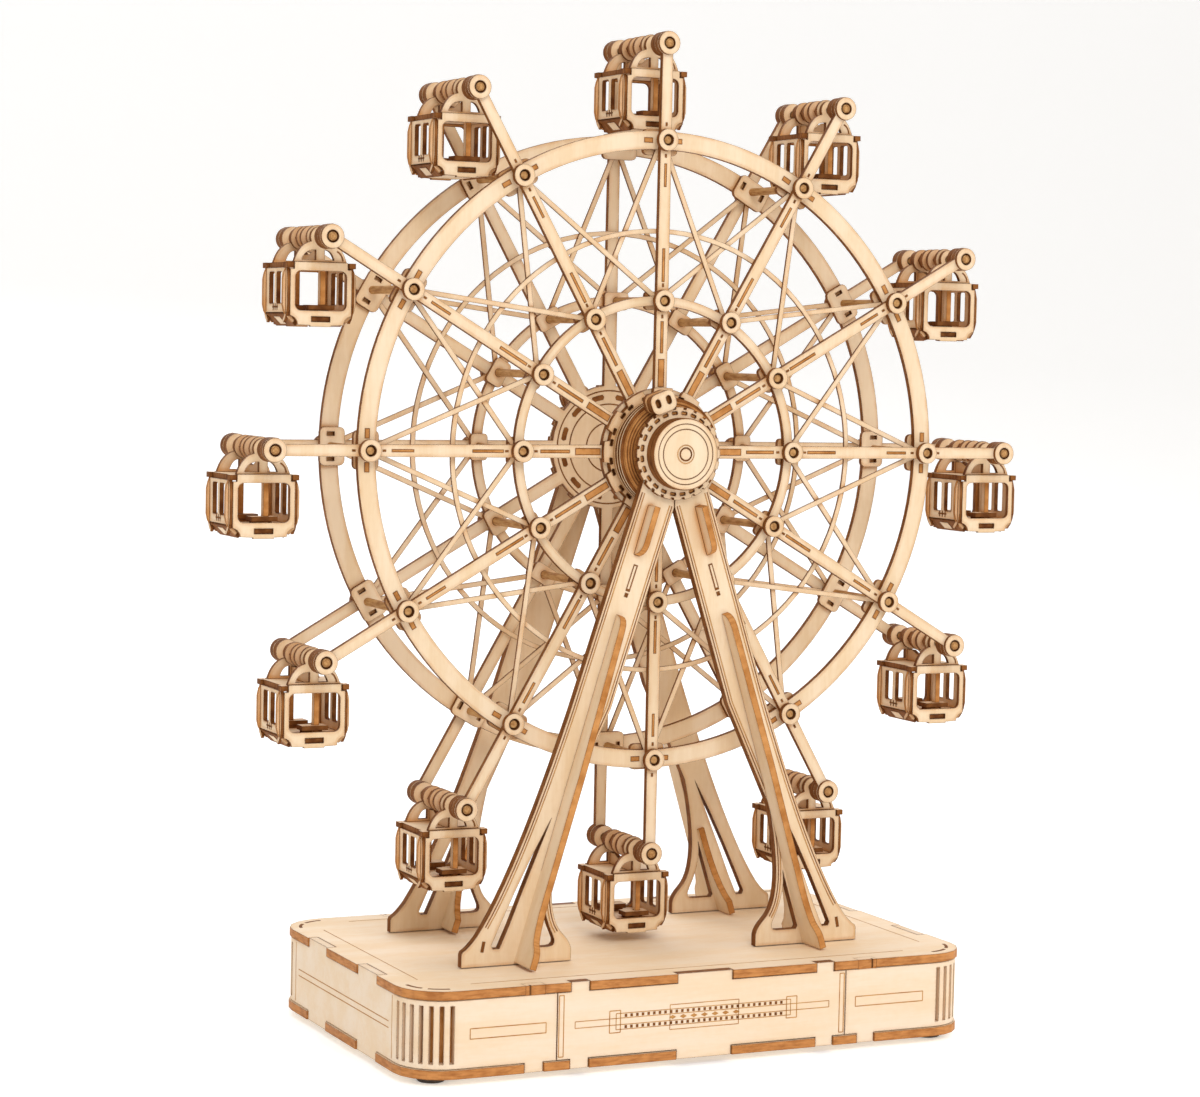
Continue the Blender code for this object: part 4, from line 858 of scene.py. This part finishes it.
def spoke_star(side):
    """Hub disc and twelve spokes in one sheet, with round washers, dowel ends and recess strips"""
    bm = bmesh.new()
    half_spoke, half_arm, disc = SPOKE_WIDTH / 2, 1.95, 22.0
    root = math.sqrt(disc ** 2 - half_spoke ** 2)
    eye_radius = 4.2
    eye = math.degrees(math.asin(half_arm / eye_radius))
    spoke = [(-half_spoke, root)] + arc((0, PIVOT_RADIUS), eye_radius, 270 - eye, eye - 90, 14)
    spoke += [(half_spoke, root), polar(disc, STEP / 2)]
    outline = [point for k in range(CABIN_COUNT) for point in turned_outline(spoke, k)]
    add_plate(bm, [outline, circle(AXLE_HOLE, 20)], PLY, front(side, (SPOKE_IN + SPOKE_OUT) / 2))
    for radius in (RIM_RADIUS, INNER_RADIUS):
        centre = (0, radius)
        washer = [circle(WASHER, 28, centre), circle(WASHER_HOLE, 20, centre)]
        add_plate(bm, washer, BOSS_HEIGHT, round_wheel(front(side, SPOKE_OUT + BOSS_HEIGHT / 2)))
        at = Matrix.Translation((0, 0, radius))
        bottom, dowel = at @ front(side, SPOKE_OUT + 0.1), at @ front(side, SPOKE_OUT + 0.5)
        # Painted shade: a dark disc in the washer's hole round the dowel end
        add_rod(bm, WASHER_HOLE + 0.02, 0.4, round_wheel(bottom), 20, SHADE_HOLE_SLOT)
        add_rod(bm, DOWEL_END, 1.5, round_wheel(dowel))
        for shift in (-1, 1):
            dot = rectangle(0.7, 1.2, (0, radius + shift * 5.4))
            add_mark(bm, [dot], round_wheel(front(side, SPOKE_OUT + PROUD)), thickness=0.1)
    for width, low, high in ((2.4, 22.4, 32.0), (1.2, 34.0, 45.0), (1.1, 58.5, 70.0),
                             (1.0, 91.0, 99.0)):
        add_inlay(bm, width, high - low, (0, (low + high) / 2), side, SPOKE_OUT)
    inside = front(side, SPOKE_IN - PROUD)
    for ring in (20.4, 15.6, 9.0):
        add_mark(bm, ring_loops(ring, ring - 0.4, 64), inside)
    for k in range(CABIN_COUNT):
        add_mark(bm, [curved_slot(18.0, (k + 0.5) * STEP, 5.0, 1.8)], inside)
    name = side_name(side)
    finish_piece(bm, name + "_spokes", "wheel", HUB, replaced=[name + "_spoke_star"])


def rim(side):
    """A smooth rim with brown-lined tabs beside each washer and splice plates behind it"""
    bm = bmesh.new()
    half = RIM_WIDTH / 2
    add_plate(bm, ring_loops(RIM_RADIUS + half, RIM_RADIUS - half, 144), PLY,
              front(side, LATTICE_IN + PLY / 2))
    out = LATTICE_IN + PLY
    for shift in (-1, 1):
        add_inlay(bm, 3.4, 1.8, (shift * 5.6, RIM_RADIUS - 0.14), side, out)
    plate = rounded(13.2, 9.0, 1.8, (0, RIM_RADIUS - 0.6), 3)
    holes = [rectangle(1.4, 2.8, (shift * 4.3, RIM_RADIUS)) for shift in (-1, 1)]
    add_plate(bm, [plate] + holes, 1.6, round_wheel(front(side, LATTICE_IN - 0.9)))
    name = side_name(side)
    finish_piece(bm, name + "_ring", "wheel", HUB, replaced=[name + "_rim"])


def lattice(side):
    """Crossed sticks in two layers between the rim and a round inner ring, with a ring half way"""
    bm = bmesh.new()
    half = 3.3 / 2
    add_plate(bm, ring_loops(INNER_RADIUS + half, INNER_RADIUS - half, 96), PLY,
              front(side, LATTICE_IN + PLY / 2))
    add_plate(bm, ring_loops(76.8, 75.1, 96), 0.8, front(side, LATTICE_IN + 1.0))
    start = RIM_RADIUS - RIM_WIDTH / 2 + 0.8
    for hand, depth in ((-1, 0.55), (1, 1.45)):
        target = Vector(polar(INNER_RADIUS, hand * STEP))
        run = (target - Vector((0, RIM_RADIUS))).normalized()
        top = Vector((0, RIM_RADIUS)) + run * ((RIM_RADIUS - start) / -run.y)
        stick = stroke([tuple(top), tuple(target)], 1.75)
        add_plate(bm, [stick], 0.86, round_wheel(front(side, LATTICE_IN + depth)))
    plate = rounded(9.4, 6.4, 1.4, (0, INNER_RADIUS), 3)
    add_plate(bm, [plate], 1.6, round_wheel(front(side, LATTICE_IN - 0.9)))
    if side > 0:
        for radius in (RIM_RADIUS, INNER_RADIUS):
            dowel = Matrix.Translation((0, 0, radius)) @ FACING_Y
            add_rod(bm, 1.4, 2 * LATTICE_IN, round_wheel(dowel))
    name = side_name(side)
    finish_piece(bm, name + "_crossed_sticks", "wheel", HUB, replaced=[name + "_lattice"])


def hub_drum(side):
    """Toothed disc with curved slots, then thin discs with pale rims and beaded brown grooves
    between; the thin discs' faces and the spacer in front are painted brown as shade
    """
    name = side_name(side)
    start, end = depths(name + "_hub_drum")
    bm = bmesh.new()
    hole = circle(AXLE_HOLE, 16)
    disc = 1.9
    slots = [curved_slot(19.6, (k + 0.5) * STEP + shift * 0.10, 2.5, 1.2)
             for k in range(CABIN_COUNT) for shift in (-1, 1)]
    add_plate(bm, [toothed(22.3, CABIN_COUNT, 2.0, 0.62), hole] + slots, disc,
              front(side, start + disc / 2))
    at = start + disc
    groove, thin = 1.2, 0.8
    add_plate(bm, [circle(20.6, 48), hole], 0.1, front(side, start + 0.1), LIT_CUT_SLOT)
    for k in range(3):
        add_plate(bm, [toothed(17.6, 56, 0.8, 0.5), hole], groove, front(side, at + groove / 2),
                  EDGE_SLOT)
        # Painted shade: the thin discs' faces are brown, as faces lying in shade
        add_plate(bm, [circle(18.9, 64), hole], thin, front(side, at + groove + thin / 2),
                  EDGE_SLOT, FACE_SLOT)
        at += groove + thin
    # Painted shade: a brown spacer where the drum's front face lies in shade
    add_mark(bm, [circle(17.8, 64), hole], front(side, (at + end) / 2), LIT_CUT_SLOT, end - at)
    for ring in (17.0, 16.0, 15.0):
        add_mark(bm, ring_loops(ring, ring - 0.35, 64), front(side, end + PROUD))
    finish_piece(bm, name + "_layered_drum", "wheel", HUB, [name + "_hub_drum"])


def hub_knob(side):
    """The turning cap with its engraved rings and the axle's end"""
    name = side_name(side)
    low, high = node_box(name + "_hub_knob")
    radius = (high.x - low.x) / 2
    start = depths(name + "_hub_knob")[0]
    top = high.y - low.y
    sink, half, axle_end = 0.15, 0.15, 1.9
    profile = [(0, top - 0.01), (axle_end, top - 0.01), (axle_end + 0.2, top - 2 * sink),
               (AXLE_HOLE, top)]
    slots = [FACE_SLOT, SCORCH_SLOT, SCORCH_SLOT]
    for ring, mark in ((3.1, LINE_SLOT), (8.5, SCORCH_SLOT), (10.3, SCORCH_SLOT)):
        profile += [(ring - half, top), (ring, top - sink), (ring + half, top)]
        slots += [FACE_SLOT, mark, mark]
    profile += [(radius - 0.3, top), (radius, top - 0.4), (radius, top - 1.9),
                (radius - 0.5, top - 2.1), (radius, top - 2.3), (radius, 0), (AXLE_HOLE, 0)]
    slots += [FACE_SLOT, SCORCH_SLOT, EDGE_SLOT, SCORCH_SLOT, SCORCH_SLOT, EDGE_SLOT, FACE_SLOT]
    bm = bmesh.new()
    turn = Matrix.Rotation(-side * math.pi / 2, 4, "X")
    add_turned(bm, profile, slots, 72, Matrix.Translation((0, side * start, 0)) @ turn)
    finish_piece(bm, name + "_turning_cap", "wheel", HUB, replaced=[name + "_hub_knob"])


def bearing_plate(side):
    """Round plate with a ring of kidney slots, and the two-layered lug over it"""
    name = side_name(side)
    inner, outer = depths(name + "_bearing_plate")
    plate_out = outer - 1.2
    bm = bmesh.new()
    count, bore = 24, circle(2.5, 20)
    slots = [curved_slot(13.9, 2 * math.pi * (k + 0.5) / count, 2.3, 1.2) for k in range(count)]
    add_plate(bm, [toothed(15.9, count, 0.8, 0.66), bore] + slots, PLY,
              front(side, plate_out - PLY / 2))
    add_plate(bm, [circle(15.0, 48), bore], 0.1, front(side, plate_out - 0.7), LIT_CUT_SLOT)
    turn = Matrix.Rotation(-math.radians(21), 4, "Y")
    lug = rounded(9.4, 7.0, 2.5, (0, 18.7), 5)
    eyes = [rounded(1.9, 3.1, 0.9, (shift * 2.1, 18.9), 3) for shift in (-1, 1)]
    top, bottom = outer - 0.02, inner + 0.02
    thick = 1.5
    add_plate(bm, [lug] + eyes, thick, turn @ front(side, top - thick / 2))
    between = turn @ front(side, (top + bottom) / 2)
    gap = top - bottom - 2 * thick
    add_mark(bm, [rounded(8.2, 5.8, 2.1, (0, 18.4), 4)], between, EDGE_SLOT, gap)
    add_plate(bm, [lug], thick, turn @ front(side, bottom + thick / 2))
    finish_piece(bm, name + "_slotted_bearing", "root", HUB, replaced=[name + "_bearing_plate"])


# Stands, about the wheel's axis; a leg is drawn in mm out from the axis and up from the base

HUB_HEIGHT = HUB.z - node_box("base_top_plate")[1].z
LEG_PLY = 3.0
LEG_IN = depths("front_left_leg_plate")[0]
LEG_OUT = LEG_IN + LEG_PLY
FIN_FOOT, FIN_HEAD = 55.8, 3.5
FIN_PLY, RIB_PLY = 2.4, 2.2
LEAN = math.atan2(FIN_FOOT - FIN_HEAD, HUB_HEIGHT)


def leg_outer():
    """The outer edge from the head down to the toe"""
    head = arc((0, 173), 8.5, 88, 18.2, 6)
    flare = bend((37.5, 86), (57, 30), (70.5, 10.5), 12)
    toe = bend((70.5, 10.5), (73.6, 6.6), (75.6, 5.6), 4)
    return head + [(13.2, 160)] + flare + toe[1:] + [(76, 4.6), (76, 0.3)]


def leg_inner():
    """The inner edge from the toe up to where the two legs meet"""
    toe = bend((35.6, 4.4), (36.0, 6.8), (38.8, 9.6), 4)
    flare = bend((38.8, 9.6), (47.2, 17.5), (39.7, 50), 12)
    return [(35.6, 0.3)] + toe + flare[1:] + [(22.5, 86), (0.15, 154.6)]


def leg_loops():
    """A leg's outline with the long slit and the window beside its fin"""
    outline = leg_outer() + leg_inner() + arc((0, 173), 2.6, -86, 86, 8)
    slit = [(43.6, 50), (50.6, 37.4), (57, 24.8), (62.2, 13.8), (65.2, 7.2), (64.6, 6), (62.2, 6),
            (58.6, 14), (54.4, 24.4), (49.6, 35.8)]
    window = bend((45.7, 27), (47.4, 19.5), (42.6, 9.6), 7)
    window += bend((42.6, 9.6), (40.6, 5.7), (44.0, 5.6), 4)[1:] + [(51.6, 5.6), (52.2, 6.6)]
    return [outline, slit, window]


def fin_frame(side, hand):
    """Along a leg's middle, out from the wheel and across the sheet, as its fin is drawn"""
    along = Vector((-hand * math.sin(LEAN), 0, math.cos(LEAN)))
    outward = Vector((0, side, 0))
    turn = Matrix((along, outward, along.cross(outward))).transposed().to_4x4()
    return Matrix.Translation((hand * FIN_FOOT, 0, -HUB_HEIGHT)) @ turn


def fin_outline():
    """A fin from the side, in mm along the leg and out from the wheel's middle"""
    toe = bend((5.0, 47), (7.2, 46.6), (9.0, 44.4), 3)
    toe += bend((9.0, 44.4), (12, 41.9), (24, 41.9), 6)[1:]
    top = bend((118.5, 39.5), (123, 39.0), (123.2, 34.3), 4)
    behind = bend((33, 29.5), (11.5, 29.5), (5.5, 21), 6)
    return [(0.8, 47)] + toe + [(67.5, 41.8)] + top + [(33, 34.3)] + behind + [(0.8, 21)]


def stand(side):
    """Two flat legs with engraved lines, and the fins and short ribs that cross them"""
    name = side_name(side)
    for hand, label in ((-1, "_left"), (1, "_right")):
        place = fin_frame(side, hand)
        leg, fin = name + label + "_leg", name + label + "_fin"
        bm = bmesh.new()
        loops = [[(hand * x, z - HUB_HEIGHT) for x, z in loop] for loop in leg_loops()]
        add_plate(bm, loops, LEG_PLY, front(side, (LEG_IN + LEG_OUT) / 2))
        rib = [(162, 33), (162, 39.2)] + bend((149, 39.2), (144.8, 39), (144.3, 33), 5)
        # The rib's cut sides are painted lighter, as if lit
        add_plate(bm, [rib], RIB_PLY, place, FACE_SLOT, LIT_CUT_SLOT)
        add_leg_engraving(bm, side, hand)
        finish_piece(bm, leg, "root", HUB, replaced=[leg + "_plate"])
        bm = bmesh.new()
        # The fin's cut sides are painted lighter, as if lit
        add_plate(bm, [fin_outline()], FIN_PLY, place, FACE_SLOT, LIT_CUT_SLOT)
        finish_piece(bm, fin, "root", HUB, replaced=[leg + "_fin"])


def add_leg_engraving(bm, side, hand):
    """Line pairs inside both edges, tab slots under the head and a slit beside the toe"""
    place = front(side, LEG_OUT + PROUD)
    for edge in (leg_outer(), leg_inner()):
        path = [(x, z - HUB_HEIGHT) for x, z in edge if 11 < z < 161]
        for inset, slot in ((0.9, SCORCH_SLOT), (1.8, LINE_SLOT)):
            line = stroke(shifted(path, -inset), LINE)
            add_mark(bm, [[(hand * x, z) for x, z in line]], place, slot)
    marks = [((68.6, 5.2), (67.9, 8.8), 1.1, SCORCH_SLOT),
             ((14.2, 135), (17.2, 126), 1.6, SCORCH_SLOT),
             ((14.4, 134.6), (17.0, 126.8), 0.8, FACE_SLOT),
             ((17.4, 125.4), (17.9, 124), 1.3, SCORCH_SLOT)]
    for low, high, width, slot in marks:
        ends = [(hand * x, z - HUB_HEIGHT) for x, z in (low, high)]
        thickness = THIN + PROUD if slot == FACE_SLOT else THIN
        add_mark(bm, [stroke(ends, width)], place, slot, thickness)


# Base, in its own place

CORNER_RADIUS = 16.0
PLATE_EDGE = 0.5
WALL_PLY = 3.3
KERF_HEIGHT = 21.0


def wall_shapes(middle):
    """Frames at the ends of a long wall, its seam strips and a plain ornament in its middle"""
    shapes = []
    for hand in (-1, 1):
        shapes += frame_strokes(27.0, 3.4, (hand * 72.0, middle), LINE)
        shapes += frame_strokes(1.7, 20.5, (hand * 53.0, middle), LINE)
    for width, height in ((96, 2.2), (66, 5.4), (26, 8.4)):
        shapes += frame_strokes(width, height, (0, middle), LINE * 0.8)
    for hand in (-1, 1):
        shapes += frame_strokes(4.0, 7.4, (hand * 33.4, middle), LINE)
    for i in range(7):
        x = (i - 3) * 4.0
        shapes.append([(x - 1.3, middle), (x, middle - 0.7), (x + 1.3, middle), (x, middle + 0.7)])
    return shapes


def base_engraving():
    low, high = node_box("base_top_plate")
    centre = (low.y + high.y) / 2
    half_x, half_y = (high.x - low.x) / 2, (high.y - low.y) / 2
    middle = (high.z + node_box("base_bottom_plate")[0].z) / 2
    bm = bmesh.new()
    wall_y = node_box("base_front_panel")[0].y
    for side in (-1, 1):
        place = Matrix.Translation((0, centre, 0)) @ front(side, centre - wall_y + PROUD)
        for shape in wall_shapes(middle):
            add_mark(bm, [shape], place, LINE_SLOT)
        for i in range(29):
            for shift in (-1.9, 1.9):
                tick = rectangle(0.9, 1.0, ((i - 14) * 2.1, middle + shift))
                add_mark(bm, [tick], place)
    reach = half_y - 22
    for hand in (-1, 1):
        wall = node_box("base_left_wall")[0].x if hand < 0 else node_box("base_right_wall")[1].x
        place = Matrix.Translation((wall + hand * PROUD, centre, 0)) @ FACING_X
        lines = [[(-reach, middle + z), (reach, middle + z)] for z in (1.3, -0.9)]
        lines += [[(y, middle - 10.5), (y, middle + 10.5)] for y in (-reach - 3, reach + 3)]
        for line in lines:
            add_mark(bm, [stroke(line, LINE)], place, LINE_SLOT)
    place = Matrix.Translation((0, centre, high.z + PROUD))
    inset_x, inset_y = half_x - 10, half_y - 9
    for hand in (-1, 1):
        for line in ([(hand * inset_x, -inset_y + 12), (hand * inset_x, inset_y - 12)],
                     [(-inset_x + 14, hand * inset_y), (inset_x - 14, hand * inset_y)]):
            add_mark(bm, [stroke(line, LINE)], place, LINE_SLOT)
        for side in (-1, 1):
            corner = (hand * (half_x - CORNER_RADIUS), side * (half_y - CORNER_RADIUS))
            start = math.degrees(math.atan2(side, hand)) - 40
            for sweep in (0, 44):
                slot = stroke(arc(corner, 12.2, start + sweep, start + sweep + 34, 6), 1.1)
                add_mark(bm, [slot], place)
    finish_piece(bm, "base_engraving", "root", (0, 0, 0))


def kerf_backing():
    """A brown strip behind each bent corner, where the kerf cuts go through"""
    low, high = node_box("base_top_plate")
    wall_low, wall_high = node_box("base_left_wall")
    middle_y, half_y = (low.y + high.y) / 2, (high.y - low.y) / 2
    radius = CORNER_RADIUS - PLATE_EDGE
    inner = radius - WALL_PLY
    place = Matrix.Translation((0, 0, (wall_low.z + wall_high.z) / 2))
    bm = bmesh.new()
    for hand in (-1, 1):
        for side in (-1, 1):
            centre = (hand * (high.x - CORNER_RADIUS), middle_y + side * (half_y - CORNER_RADIUS))
            start = {(1, 1): 0, (-1, 1): 90, (-1, -1): 180, (1, -1): 270}[(hand, side)]
            strip = arc(centre, inner, start + 2, start + 88, 10)
            strip += arc(centre, inner - 0.6, start + 88, start + 2, 10)
            add_mark(bm, [strip], place, LIT_CUT_SLOT, KERF_HEIGHT)
    finish_piece(bm, "kerf_backing", "root", (0, 0, 0))


def edge_fills():
    """Closes the top plate's edge at the outer tabs: the walls have those at the bottom only"""
    low, high = node_box("base_top_plate")
    top = high.z - low.z
    size, mark = (7.2, 3.9, top + 0.3), (0.5, 1.1, top + 0.1)
    bm = bmesh.new()
    for hand in (-1, 1):
        for y, side in ((low.y, 1), (high.y, -1)):
            centre = (hand * 62.7, y + side * (size[1] / 2 + PROUD), high.z - size[2] / 2 + 0.02)
            add_block(bm, size, centre, FACE_SLOT)
            # Painted shade: a dark slit in the gap beside each fill
            add_block(bm, mark, (hand * 64.6, y + side * mark[1] / 2, high.z - top / 2), SHADE_HOLE_SLOT)
    finish_piece(bm, "edge_fills", "root", (0, 0, 0), face=PLATE_WOOD)


def foot_pads():
    """The rubber feet as round pads with a worn lower edge"""
    for name in frame["nodes"]:
        if not name.startswith("rubber_foot"):
            continue
        low, high = node_box(name)
        centre = (low + high) / 2
        radius, height, worn = 4.8, high.z - low.z, 0.5
        out = Vector((math.copysign(1, centre.x), math.copysign(1, centre.y - HUB.y), 0)) * 1.4
        profile = [(0, height), (radius, height), (radius, worn), (radius - worn, 0), (0, 0)]
        bm = bmesh.new()
        add_turned(bm, profile, [FACE_SLOT] * 4, 32, Matrix.Identity(4))
        place = Vector((centre.x, centre.y, low.z)) + out
        finish_piece(bm, name + "_pad", "root", place, [name], RUBBER)


def build_all():
    dress_nodes()
    build_cabins()
    for side in (-1, 1):
        spoke_star(side)
        rim(side)
        lattice(side)
        hub_drum(side)
        hub_knob(side)
        bearing_plate(side)
        stand(side)
    base_engraving()
    kerf_backing()
    edge_fills()
    foot_pads()


make_camera()
make_stage()
make_lighting()
build_all()
